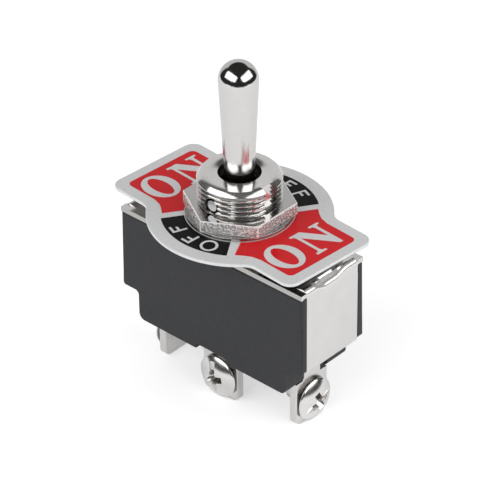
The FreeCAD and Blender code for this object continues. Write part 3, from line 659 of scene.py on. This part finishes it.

# Painted shade where shade falls: the bore, the keyway's walls, the mouths of the cross hole and,
# by their depth, the thread's grooves.
BORE_SHADE = (3.06, 35.27)
MOUTH_SHADE = (1.16, 4.5)
GROOVE_TOP = 34.58
GROOVE_FLOOR = 5.4
GROOVE_SHADE = 0.75
painted_shade = []
for polygon in collar.data.polygons:
    centre = polygon.center
    reach = centre.xy.length / MM
    on_wall = abs(abs(centre.y) - KEYWAY_HALF * MM) < 0.02 * MM
    wall = on_wall and abs(polygon.normal.y) > SIDEWAYS and centre.x > 5 * MM
    from_hole = math.hypot(centre.x, centre.z - PIN_HEIGHT * MM)
    mouth = from_hole < MOUTH_SHADE[0] * MM and MOUTH_SHADE[1] < reach < MOUTH_PLACE
    bore = reach < BORE_SHADE[0] and centre.z < BORE_SHADE[1] * MM
    groove = 0.0
    if THREAD_LOW < centre.z / MM < GROOVE_TOP and GROOVE_FLOOR < reach < THREAD_CREST:
        groove = GROOVE_SHADE * (THREAD_CREST - reach) / (THREAD_CREST - THREAD_ROOT)
    painted_shade.append(max(float(bore or wall or mouth), groove))
mark(collar, "painted_shade", painted_shade)
fit(collar, "base", "bright_plating", plated_brass.material, "bushing")
finish_node("pivot_pin", spring_steel.material)


# Lever. A bat lever turned from brass bar and nickel plated bright: a ball
# end, an arm that narrows to the bushing, the boss that swings on the cross
# pin and a bored shank that holds the spring and its plunger.

BALL_CENTRE = 49.8
BALL_RADIUS = 2.8
SPRING_BORE = 1.35
SHANK_RADIUS = 1.9
SHANK_END = 22.0
BOSS_RADIUS = 2.6
ARM_FOOT = 33.9
ARM_LENGTH = 15.7
NECK_RADIUS = 2.04
ARM_FLARE = 0.75
BALL_START = -2
BALL_SWEEP = 91.2
ARM_SHADE_TOP = 34.6
lever_profile = [(SPRING_BORE, 29.6), (SPRING_BORE, SHANK_END), (SHANK_RADIUS, SHANK_END),
                 (SHANK_RADIUS, 31.2), (BOSS_RADIUS, 31.4), (BOSS_RADIUS, 33.4)]
for step in range(21):
    lever_profile.append((NECK_RADIUS + ARM_FLARE * step / 20, ARM_FOOT + ARM_LENGTH * step / 20))
for step in range(17):
    angle = math.radians(BALL_START + BALL_SWEEP * step / 16)
    lever_profile.append((BALL_RADIUS * math.cos(angle), BALL_CENTRE + BALL_RADIUS * math.sin(angle)))

bright = Finish("Bright nickel", metallic=1.0)
haze = bright.use(GRAIN, "Value", Size=1.2, Contrast=1.2)
pits = bright.use(GRAIN, "Value", Size=0.13, Contrast=1.6)
polish = bright.colour(haze, (0.73, 0.72, 0.71), (0.79, 0.78, 0.77))
# Faces down inside the bushing turn dark brown-grey: painted shade.
bright.link(bright.colour(bright.marked("painted_shade"), polish, (0.20, 0.18, 0.17)), "Base Color")
bright.link(bright.spread(haze, 0.04, 0.09), "Roughness")
bright.bump(pits, 0.010, 0.55)

bat = turned("bat", lever_profile, segments=64)
smooth(bat, angle=40)
mark(bat, "painted_shade", [float(polygon.center.z < ARM_SHADE_TOP * MM) for polygon in bat.data.polygons])
fit(bat, "lever", "bright_plating", bright.material, "lever")

# The plunger's spring, wound at rest between the ends of its part and hung on the lever. In the switch
# its top stays in the bore and its foot goes up with the plunger, so it shortens by the plunger's travel.
COIL_RADIUS = 0.98
WIRE_RADIUS = 0.17
COIL_TURNS = 5
coil_foot, coil_head = (place[2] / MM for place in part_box("lever_spring"))
deselect()
bpy.ops.mesh.primitive_circle_add(vertices=10, radius=WIRE_RADIUS * MM, fill_type="NOTHING", rotation=along_y,
                                  location=(COIL_RADIUS * MM, 0, (coil_foot + WIRE_RADIUS) * MM))
coil = bpy.context.object
coil.name = "plunger_coil"
bpy.ops.object.transform_apply(location=True, rotation=True, scale=True)
apply_modifier(coil, "SCREW", angle=2 * math.pi, iterations=COIL_TURNS, steps=24, render_steps=24,
               screw_offset=(coil_head - coil_foot - 2 * WIRE_RADIUS) / COIL_TURNS * MM)
bpy.ops.object.mode_set(mode="EDIT")
bpy.ops.mesh.select_all(action="DESELECT")
bpy.ops.mesh.select_non_manifold()
bpy.ops.mesh.fill_holes(sides=0)
bpy.ops.mesh.select_all(action="SELECT")
bpy.ops.mesh.normals_make_consistent(inside=False)
bpy.ops.object.mode_set(mode="OBJECT")
smooth(coil, angle=60)
fit(coil, "lever", "spring_wire", spring_steel.material, "lever_spring")
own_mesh(coil)


# Nuts and washers. A thin stamped nut, bright on its face and torn along its
# sheared sides, clamps the plate through a flat washer. The plain nut and the
# lock washer below hold the plate off the frame.

stamped = Finish("Stamped nut", metallic=1.0)
facing = stamped.tree.nodes.new("ShaderNodeNewGeometry")
split = stamped.tree.nodes.new("ShaderNodeSeparateXYZ")
stamped.tree.links.new(facing.outputs["True Normal"], split.inputs[0])
sheer = stamped.spread(split.outputs["Z"], 1.0, 0.0, from_low=0.25, from_high=0.6)
torn = stamped.use(GRAIN, "Value", Size=0.32, Contrast=5.0)
soft = stamped.use(GRAIN, "Value", Size=0.7, Contrast=1.0)
# The rounded edges are painted near-white and barely metallic: a painted highlight.
edge_highlight = stamped.use(EDGE_WEAR_AND_HIGHLIGHT, "Mask", Breakup=0.35)
sheared = stamped.colour(torn, (0.42, 0.41, 0.40), (1.0, 0.99, 0.98))
walls = stamped.colour(sheer, (0.64, 0.63, 0.62), sheared)
stamped.link(stamped.colour(edge_highlight, walls, (1.0, 0.99, 0.98)), "Base Color")
stamped.link(stamped.blend(edge_highlight, stamped.spread(sheer, 1.0, 0.5), 0.1), "Metallic")
smoothness = stamped.blend(sheer, stamped.spread(soft, 0.10, 0.18), stamped.spread(torn, 0.10, 0.35))
stamped.link(smoothness, "Roughness")
stamped.bump(stamped.blend(sheer, 0.0, torn), 0.07, 1.0)

zinc = Finish("Washer zinc", metallic=1.0)
cloud = zinc.use(GRAIN, "Value", Size=1.0, Contrast=1.4)
zinc.link(zinc.colour(cloud, (0.42, 0.41, 0.40), (0.60, 0.59, 0.58)), "Base Color")
zinc.link(zinc.spread(cloud, 0.16, 0.30), "Roughness")
zinc.bump(cloud, 0.02, 0.4)

top_nut = solid_copy("top_nut", "hex_nut")
break_edges(top_nut, width=0.22)
fit(top_nut, "base", "bright_plating", stamped.material, "hex_nut")
under_nut = solid_copy("under_nut", "lower_nut")
break_edges(under_nut, width=0.09)
fit(under_nut, "base", "bright_plating", zinc.material, "lower_nut")
for name, node in (("top_washer", "flat_washer"), ("under_washer", "lock_washer")):
    washer = solid_copy(name, node)
    break_edges(washer, width=0.08)
    fit(washer, "base", "bright_plating", zinc.material, node)


# Indicator plate. Blanked from soft aluminium sheet with a fine brushed face.
# Baked enamel is printed on it in red and black, and the letters are left
# bare. It sits a few degrees off square, as its key tab allows.

PLATE_TURN = -3.8
PLATE_TOP = 28.8
ENAMEL_THICK = 0.02
DISC_EDGE = 11.0
WASHER_EDGE = 7.75

aluminium = Finish("Brushed aluminium", metallic=0.4)
brushed = aluminium.use(LINES, "Value", X=0.5, Y=6.0, Z=6.0)
mottled = aluminium.use(GRAIN, "Value", Size=0.4, Contrast=1.6)
bare = aluminium.colour(mottled, (0.80, 0.805, 0.81), (0.92, 0.925, 0.93))
# The cut edges are painted lighter: a painted highlight.
rim_highlight = aluminium.use(EDGE_WEAR_AND_HIGHLIGHT, "Mask", Breakup=0.5)
# Faces turned downward are painted dark: painted shade on the plate's underside.
looking = aluminium.tree.nodes.new("ShaderNodeNewGeometry")
upward = aluminium.tree.nodes.new("ShaderNodeSeparateXYZ")
aluminium.tree.links.new(looking.outputs["True Normal"], upward.inputs[0])
underside = aluminium.spread(upward.outputs["Z"], 1.0, 0.0, from_low=-0.5, from_high=-0.1)
shaded_underside = aluminium.colour(underside, aluminium.colour(rim_highlight, bare, (0.96, 0.96, 0.96)), (0.16, 0.15, 0.14))
aluminium.link(shaded_underside, "Base Color")
aluminium.link(aluminium.spread(underside, 0.4, 1.0), "Metallic")
aluminium.link(aluminium.spread(brushed, 0.34, 0.54), "Roughness")
aluminium.bump(brushed, 0.01, 0.35)

plate = solid_copy("plate", "indicator_plate")
break_edges(plate, width=0.07)
fit(plate, "base", "plate_aluminium", aluminium.material, "indicator_plate")


def polar(radius, degrees):
    """A point on the plate from its radius and its angle from +X."""
    return (radius * math.cos(math.radians(degrees)), radius * math.sin(math.radians(degrees)))


def arc(radius, start, end, steps):
    """Points along an arc about the plate's centre."""
    return [polar(radius, start + (end - start) * step / steps) for step in range(steps + 1)]


def corner(x, y, radius, start, steps=6):
    """Points round a corner's quarter circle."""
    points = []
    for step in range(steps + 1):
        angle = math.radians(start + 90 * step / steps)
        points.append((x + radius * math.cos(angle), y + radius * math.sin(angle)))
    return points


def ellipse(x, y, half_x, half_y, steps=40):
    """Points round an ellipse."""
    points = []
    for step in range(steps):
        angle = 2 * math.pi * step / steps
        points.append((x + half_x * math.cos(angle), y + half_y * math.sin(angle)))
    return points


def enamel_field(name, outlines):
    """A thin printed field with its letters left out."""
    drawing = bpy.data.curves.new(name, "CURVE")
    drawing.dimensions = "2D"
    drawing.fill_mode = "BOTH"
    drawing.extrude = ENAMEL_THICK / 2 * MM
    for outline in outlines:
        spline = drawing.splines.new("POLY")
        spline.points.add(len(outline) - 1)
        for point, (x, y) in zip(spline.points, outline):
            point.co = (x * MM, y * MM, 0, 1)
        spline.use_cyclic_u = True
    field = bpy.data.objects.new(name, drawing)
    bpy.context.scene.collection.objects.link(field)
    choose(field)
    bpy.ops.object.convert(target="MESH")
    field = bpy.context.object
    field.location = (0, 0, (PLATE_TOP + ENAMEL_THICK / 2) * MM)
    field.rotation_euler = (0, 0, math.radians(PLATE_TURN))
    bpy.ops.object.transform_apply(location=True, rotation=True, scale=True)
    return field


# The letter N in its own frame: across the wing, and up from its foot.
LETTER_N = [
    (0.05, 5.65), (2.05, 5.65), (4.33, 2.4), (4.33, 4.85), (4.15, 5.18), (3.68, 5.26), (3.68, 5.65),
    (5.55, 5.65), (5.55, 5.26), (5.06, 5.18), (4.88, 4.85), (4.88, -0.05), (4.3, -0.05), (1.18, 4.4),
    (1.18, 0.8), (1.36, 0.47), (1.88, 0.39), (1.88, 0.0), (0.0, 0.0), (0.0, 0.39), (0.46, 0.47),
    (0.66, 0.8), (0.66, 4.85), (0.46, 5.18), (0.05, 5.26),
]


LETTER_O_PLACE = -3.45
LETTER_O_OUTER = (3.1, 2.5)
LETTER_O_INNER = (2.45, 1.2)
LETTER_MIDDLE = 2.85


def on_lettering(foot):
    """ON across a wing, reading along +Y with its feet at foot."""
    middle = foot - LETTER_MIDDLE
    capital_n = [(foot - up, across) for across, up in LETTER_N]
    return [capital_n, ellipse(middle, LETTER_O_PLACE, *LETTER_O_OUTER),
            ellipse(middle, LETTER_O_PLACE, *LETTER_O_INNER)]


def off_lettering(facing_angle):
    """OFF round the disc, its tops outward at an angle from +X."""
    ring = 9.4
    half_height = 1.12
    stroke = 0.40
    stem = -0.7
    shapes = []
    letter_f = [
        (stem, -half_height), (stem + stroke, -half_height), (stem + stroke, -0.14), (0.55, -0.14),
        (0.55, 0.26), (stem + stroke, 0.26), (stem + stroke, half_height - stroke),
        (0.85, half_height - stroke), (0.85, half_height), (stem, half_height),
    ]
    for turn, outlines in (
        (19.5, [ellipse(0, 0, 1.27, 1.32, 32), ellipse(0, 0, 0.87, 0.92, 32)]),
        (0.5, [letter_f]),
        (-17.5, [letter_f]),
    ):
        angle = math.radians(facing_angle + turn)
        out = Vector((math.cos(angle), math.sin(angle)))
        along = Vector((out.y, -out.x))
        for outline in outlines:
            shapes.append([tuple(out * (ring + up) + along * across) for across, up in outline])
    return shapes


# The +Y side of a red field, from the washer out over the waist, and the
# centre and radius of the corner at its end.
WING_SIDE = [polar(WASHER_EDGE, 43.5), polar(10.75, 47.9), (8.3, 7.15), (9.2, 6.62), (10.6, 6.3)]
WING_CORNER = (15.35, 5.45)
WING_CORNER_RADIUS = 0.85
WING_ROOT_ANGLE = 36


def red_wing(sign):
    """Outline of the red field on one wing."""
    end, side = WING_CORNER
    points = WING_SIDE + corner(end, side, WING_CORNER_RADIUS, 0)[::-1]
    points += corner(end, -side, WING_CORNER_RADIUS, 270)[::-1]
    points += [(x, -y) for x, y in reversed(WING_SIDE)]
    points += arc(WASHER_EDGE, -WING_ROOT_ANGLE, WING_ROOT_ANGLE, 18)
    return [(sign * x, y) for x, y in points]


red = Finish("Red enamel", Specular_IOR_Level=0.13)
orange_peel = red.use(GRAIN, "Value", Size=2.5, Contrast=1.0)
red.link(red.colour(orange_peel, (0.60, 0.013, 0.017), (0.66, 0.018, 0.022)), "Base Color")
red.link(red.spread(orange_peel, 0.10, 0.18), "Roughness")
red.bump(orange_peel, 0.01, 0.1)

black = Finish("Black enamel", Specular_IOR_Level=0.08)
peel = black.use(GRAIN, "Value", Size=2.5, Contrast=1.0)
black.link(black.colour(peel, (0.004, 0.004, 0.0045), (0.008, 0.008, 0.0085)), "Base Color")
black.link(black.spread(peel, 0.12, 0.22), "Roughness")
black.bump(peel, 0.01, 0.1)

for name, sign, foot in (("red_right", 1, 15.05), ("red_left", -1, -9.5)):
    field = enamel_field(name, [red_wing(sign)] + on_lettering(foot))
    fit(field, "base", "plate_aluminium", red.material)
SECTOR_END = 36.5
SECTOR_START = 35.5
SECTOR_ROOT_START = 37.5
for name, facing_angle in (("black_front", 270), ("black_back", 90)):
    sector = arc(DISC_EDGE, facing_angle - SECTOR_START, facing_angle + SECTOR_END, 30)
    sector += arc(WASHER_EDGE, facing_angle + SECTOR_END, facing_angle - SECTOR_ROOT_START, 30)
    field = enamel_field(name, [sector] + off_lettering(facing_angle))
    fit(field, "base", "plate_aluminium", black.material)


# Terminals. Brass blades, tin-nickel plated, that come through the floor of
# the case. Each foot is tapped for its binding screw.

satin = Finish("Satin plating", metallic=1.0)
tumbled = satin.use(GRAIN, "Value", Size=0.8, Contrast=1.2)
dust = satin.use(GRAIN, "Value", Size=0.15, Contrast=1.0)
satin.link(satin.colour(tumbled, (0.80, 0.79, 0.78), (0.88, 0.87, 0.86)), "Base Color")
satin.link(satin.spread(tumbled, 0.20, 0.30), "Roughness")
satin.bump(dust, 0.01, 0.3)

for word in ("left", "centre", "right"):
    blade = solid_copy(f"blade_{word}", f"terminal_{word}")
    break_edges(blade, width=0.1)
    fit(blade, "base", "terminal_plating", satin.material, f"terminal_{word}")


# Screws. Pan-head binding screws of plated steel, cold headed with a slot and
# a cross recess in one, each driven up to its terminal and left as it stopped.

HEAD_TOP = 1.7
DOME_RADIUS = 5.2
DOME_REACH = 3.22
RIM_ANGLE = math.asin(DOME_REACH / DOME_RADIUS)
HEAD_PROFILE = [(1.3, -3.7), (1.45, -3.5), (1.45, 0.0), (2.8, 0.0), (3.1, 0.3), (3.21, 0.42), (3.25, 0.52)]
for step in range(15):
    angle = RIM_ANGLE * (1 - step / 14.4)
    HEAD_PROFILE.append((DOME_RADIUS * math.sin(angle),
                         HEAD_TOP - DOME_RADIUS + DOME_RADIUS * math.cos(angle)))
SLOT_HALF = 0.42
SLOT_REACH = 3.6
SLOT_FLOOR = 1.05
WING_REACH = 2.1
WING_HALF = 0.62
WING_FLOOR = 0.3
WING_TAPER = (0.3, 0.45, 1)
ABOVE_HEAD = 2.2

# What lies in shade: the undercut round the shank, and the recess's inside.
UNDERCUT_INNER = 1.6
UNDERCUT_TOP = 0.46
RECESS_REACH = 1.5
RECESS_FLOOR = 0.2
RECESS_DEPTH = 0.3


def driven_head(name):
    """One screw along +Z, its seat at the origin."""
    screw = turned(name, HEAD_PROFILE, segments=72)
    slot = block("slot", (-SLOT_REACH, -SLOT_HALF, SLOT_FLOOR), (SLOT_REACH, SLOT_HALF, ABOVE_HEAD))
    combine(screw, slot, "DIFFERENCE")
    for turn in (0, 90):
        wing = block("wing", (-WING_REACH, -WING_HALF, WING_FLOOR), (WING_REACH, WING_HALF, ABOVE_HEAD))
        choose(wing)
        bpy.ops.object.mode_set(mode="EDIT")
        bpy.ops.mesh.select_all(action="DESELECT")
        bpy.ops.object.mode_set(mode="OBJECT")
        for vertex in wing.data.vertices:
            vertex.select = vertex.co.z < SLOT_FLOOR * MM
        bpy.ops.object.mode_set(mode="EDIT")
        bpy.ops.transform.resize(value=WING_TAPER, center_override=(0, 0, 0))
        bpy.ops.object.mode_set(mode="OBJECT")
        wing.rotation_euler = (0, 0, math.radians(turn))
        bpy.ops.object.transform_apply(location=True, rotation=True, scale=True)
        combine(screw, wing, "DIFFERENCE")
    break_edges(screw, width=0.05, angle=38)
    painted_shade = []
    for polygon in screw.data.polygons:
        reach = polygon.center.xy.length / MM
        level = polygon.center.z / MM
        dome = HEAD_TOP - DOME_RADIUS + math.sqrt(DOME_RADIUS ** 2 - min(reach, 3.2) ** 2)
        undercut = reach > UNDERCUT_INNER and level < UNDERCUT_TOP
        recess = reach < RECESS_REACH and RECESS_FLOOR < level < dome - RECESS_DEPTH
        painted_shade.append(float(undercut or recess))
    mark(screw, "painted_shade", painted_shade)
    return screw


screw_steel = Finish("Screw plating", metallic=1.0)
film = screw_steel.use(GRAIN, "Value", Size=0.9, Contrast=1.2)
plated = screw_steel.colour(film, (0.84, 0.83, 0.82), (0.92, 0.91, 0.90))
# The undercut and the recess turn dark brown-grey: painted shade.
screw_steel.link(screw_steel.colour(screw_steel.marked("painted_shade"), plated, (0.24, 0.22, 0.205)), "Base Color")
screw_steel.link(screw_steel.spread(film, 0.15, 0.22), "Roughness")
screw_steel.bump(film, 0.008, 0.2)


def turn_about(axis, degrees):
    """A turn about one of the frame's axes."""
    return Matrix.Rotation(math.radians(degrees), 4, axis)


# Each screw's seat, the turn that lays it down, and where its slot stopped.
SCREW_HEIGHT = 3.4
END_SEAT = 13.2
CENTRE_SEAT = -4.55
master = driven_head("screw_master")
for word, seat, laid, stopped in (
    ("right", (END_SEAT, 0, SCREW_HEIGHT), turn_about("Y", 90), 110),
    ("left", (-END_SEAT, 0, SCREW_HEIGHT), turn_about("Y", -90), 30),
    ("centre", (0, CENTRE_SEAT, SCREW_HEIGHT), turn_about("X", 90), 102.8),
):
    screw = bpy.data.objects.new(f"binding_screw_{word}", master.data.copy())
    bpy.context.scene.collection.objects.link(screw)
    screw.data.transform(Matrix.Translation(Vector(seat) * MM) @ (laid @ turn_about("Z", stopped)))
    fit(screw, "base", "screw_plating", screw_steel.material, f"screw_{word}")
bpy.data.objects.remove(master)


# Studio. A small white table before a plain white ground, lit by two
# softboxes, in a dark room with one lit board that the plating mirrors.

AZIMUTH = 42.589
ELEVATION = 33.889
ROLL = -0.732
DISTANCE = 385.792
SHIFT_RIGHT = 0.044
SHIFT_UP = 1.226
TARGET_HEIGHT = 25.5
LENS = 209.314

PAPER_GLOW = 0.12
PAPER_GLOW_SEEN = 0.32
floor_paper = bpy.data.materials.new("Table paper")
floor_paper.use_nodes = True
paper = floor_paper.node_tree
paper.nodes["Principled BSDF"].inputs["Base Color"].default_value = (0.88, 0.88, 0.88, 1)
paper.nodes["Principled BSDF"].inputs["Roughness"].default_value = 0.9
paper.nodes["Principled BSDF"].inputs["Specular IOR Level"].default_value = 0.0
glow = paper.nodes.new("ShaderNodeLightPath")
amount = paper.nodes.new("ShaderNodeMath")
amount.operation = "MULTIPLY_ADD"
amount.inputs[1].default_value = PAPER_GLOW_SEEN
amount.inputs[2].default_value = PAPER_GLOW
paper.links.new(glow.outputs["Is Camera Ray"], amount.inputs[0])
paper.nodes["Principled BSDF"].inputs["Emission Color"].default_value = (1, 1, 1, 1)
paper.links.new(amount.outputs[0], paper.nodes["Principled BSDF"].inputs["Emission Strength"])

TABLE_FRONT = 193
TABLE_BACK = 270
TABLE_WIDTH = 540
deselect()
bpy.ops.mesh.primitive_plane_add(size=1)
table = bpy.context.object
table.name = "table"
table.scale = (TABLE_WIDTH * MM, (TABLE_FRONT + TABLE_BACK) * MM, 1)
bpy.ops.object.transform_apply(location=True, rotation=True, scale=True)
table.location = (0, (TABLE_BACK - TABLE_FRONT) / 2 * MM, 0)
bpy.ops.object.transform_apply(location=True, rotation=True, scale=True)
table.rotation_euler = (0, 0, math.radians(AZIMUTH))
bpy.ops.object.transform_apply(location=True, rotation=True, scale=True)
table.data.materials.append(floor_paper)
table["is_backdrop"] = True

BOARD_FACING = (-0.677, 0.736, 0.0)
BOARD_EDGE = (0.59, 0.66)
BOARD_TOP = (0.58, 0.62)
BOARD_GLOW = 0.72
DARK_GLOW = 0.03
ROOM_GLOW = 0.45
world = bpy.data.worlds.new("Studio")
bpy.context.scene.world = world
world.use_nodes = True
sky = world.node_tree
sky.nodes.clear()


def sky_node(kind, operation=None, *values):
    """A node of the world, with plain input values."""
    node = sky.nodes.new(kind)
    if operation:
        node.operation = operation
    for index, value in enumerate(values):
        if isinstance(value, bpy.types.NodeSocket):
            sky.links.new(value, node.inputs[index])
        elif value is not None:
            node.inputs[index].default_value = value
    return node


direction = sky_node("ShaderNodeTexCoord").outputs["Generated"]
height = sky_node("ShaderNodeSeparateXYZ", None, direction).outputs["Z"]
behind = sky_node("ShaderNodeVectorMath", "DOT_PRODUCT", direction, BOARD_FACING).outputs["Value"]
level = sky_node("ShaderNodeVectorMath", "MULTIPLY", direction, (1.0, 1.0, 0.0)).outputs[0]
reach = sky_node("ShaderNodeVectorMath", "LENGTH", level).outputs["Value"]
bearing = sky_node("ShaderNodeMath", "DIVIDE", behind, reach).outputs[0]
beside = sky_node("ShaderNodeMapRange")
sky.links.new(bearing, beside.inputs["Value"])
under = sky_node("ShaderNodeMapRange")
sky.links.new(height, under.inputs["Value"])
for node, (start, end), low, high in ((beside, BOARD_EDGE, 0.0, 1.0), (under, BOARD_TOP, 1.0, 0.0)):
    for label, value in (("From Min", start), ("From Max", end), ("To Min", low), ("To Max", high)):
        node.inputs[label].default_value = value
board = sky_node("ShaderNodeMath", "MULTIPLY", beside.outputs[0], under.outputs[0]).outputs[0]
lit = sky_node("ShaderNodeMath", "MULTIPLY_ADD", board, BOARD_GLOW, DARK_GLOW)
rays = sky_node("ShaderNodeLightPath")
mirrored = sky_node("ShaderNodeMath", "MAXIMUM", rays.outputs["Is Glossy Ray"],
                    rays.outputs["Is Transmission Ray"]).outputs[0]
room = sky_node("ShaderNodeBackground", None, (1, 1, 1, 1), ROOM_GLOW)
mirror = sky_node("ShaderNodeBackground")
sky.links.new(lit.outputs[0], mirror.inputs["Strength"])
white = sky_node("ShaderNodeBackground", None, (1, 1, 1, 1), 1.0)
unseen = sky_node("ShaderNodeMixShader", None, mirrored, room.outputs[0], mirror.outputs[0])
seen = sky_node("ShaderNodeMixShader", None, rays.outputs["Is Camera Ray"], unseen.outputs[0],
                white.outputs[0])
sky.links.new(seen.outputs[0], sky.nodes.new("ShaderNodeOutputWorld").inputs["Surface"])

SOFTBOX_SIZE = (0.68, 0.32)
SOFTBOX_WATTS = 1.2
SOFTBOX_DISTANCE = 0.5
SOFTBOX_AIM_HEIGHT = 40
for name, aim in (("softbox_left", (-0.166, -0.802, 0.574)), ("softbox_right", (0.819, 0.193, 0.541))):
    lamp = bpy.data.lights.new(name, "AREA")
    lamp.shape = "RECTANGLE"
    lamp.size, lamp.size_y = SOFTBOX_SIZE
    lamp.energy = SOFTBOX_WATTS
    softbox = bpy.data.objects.new(name, lamp)
    bpy.context.scene.collection.objects.link(softbox)
    aim = Vector(aim)
    softbox.location = Vector((0, 0, SOFTBOX_AIM_HEIGHT * MM)) + aim * SOFTBOX_DISTANCE
    softbox.rotation_euler = aim.to_track_quat("Z", "Y").to_euler()
    softbox.visible_camera = False

camera = bpy.data.objects.new("camera", bpy.data.cameras.new("camera"))
bpy.context.scene.collection.objects.link(camera)
bpy.context.scene.camera = camera
camera.data.sensor_width = 36
camera.data.lens = LENS
camera.data.clip_start = 0.01
camera.data.clip_end = 10
turn = (Matrix.Rotation(math.radians(AZIMUTH), 4, "Z") @ Matrix.Rotation(math.radians(90 - ELEVATION), 4, "X")
        @ Matrix.Rotation(math.radians(ROLL), 4, "Z"))
offset = turn @ Vector((-SHIFT_RIGHT, -SHIFT_UP, DISTANCE))
camera.matrix_world = Matrix.Translation((offset + Vector((0, 0, TARGET_HEIGHT))) * MM) @ turn

bpy.context.scene.view_settings.view_transform = "Standard"
low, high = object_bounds()
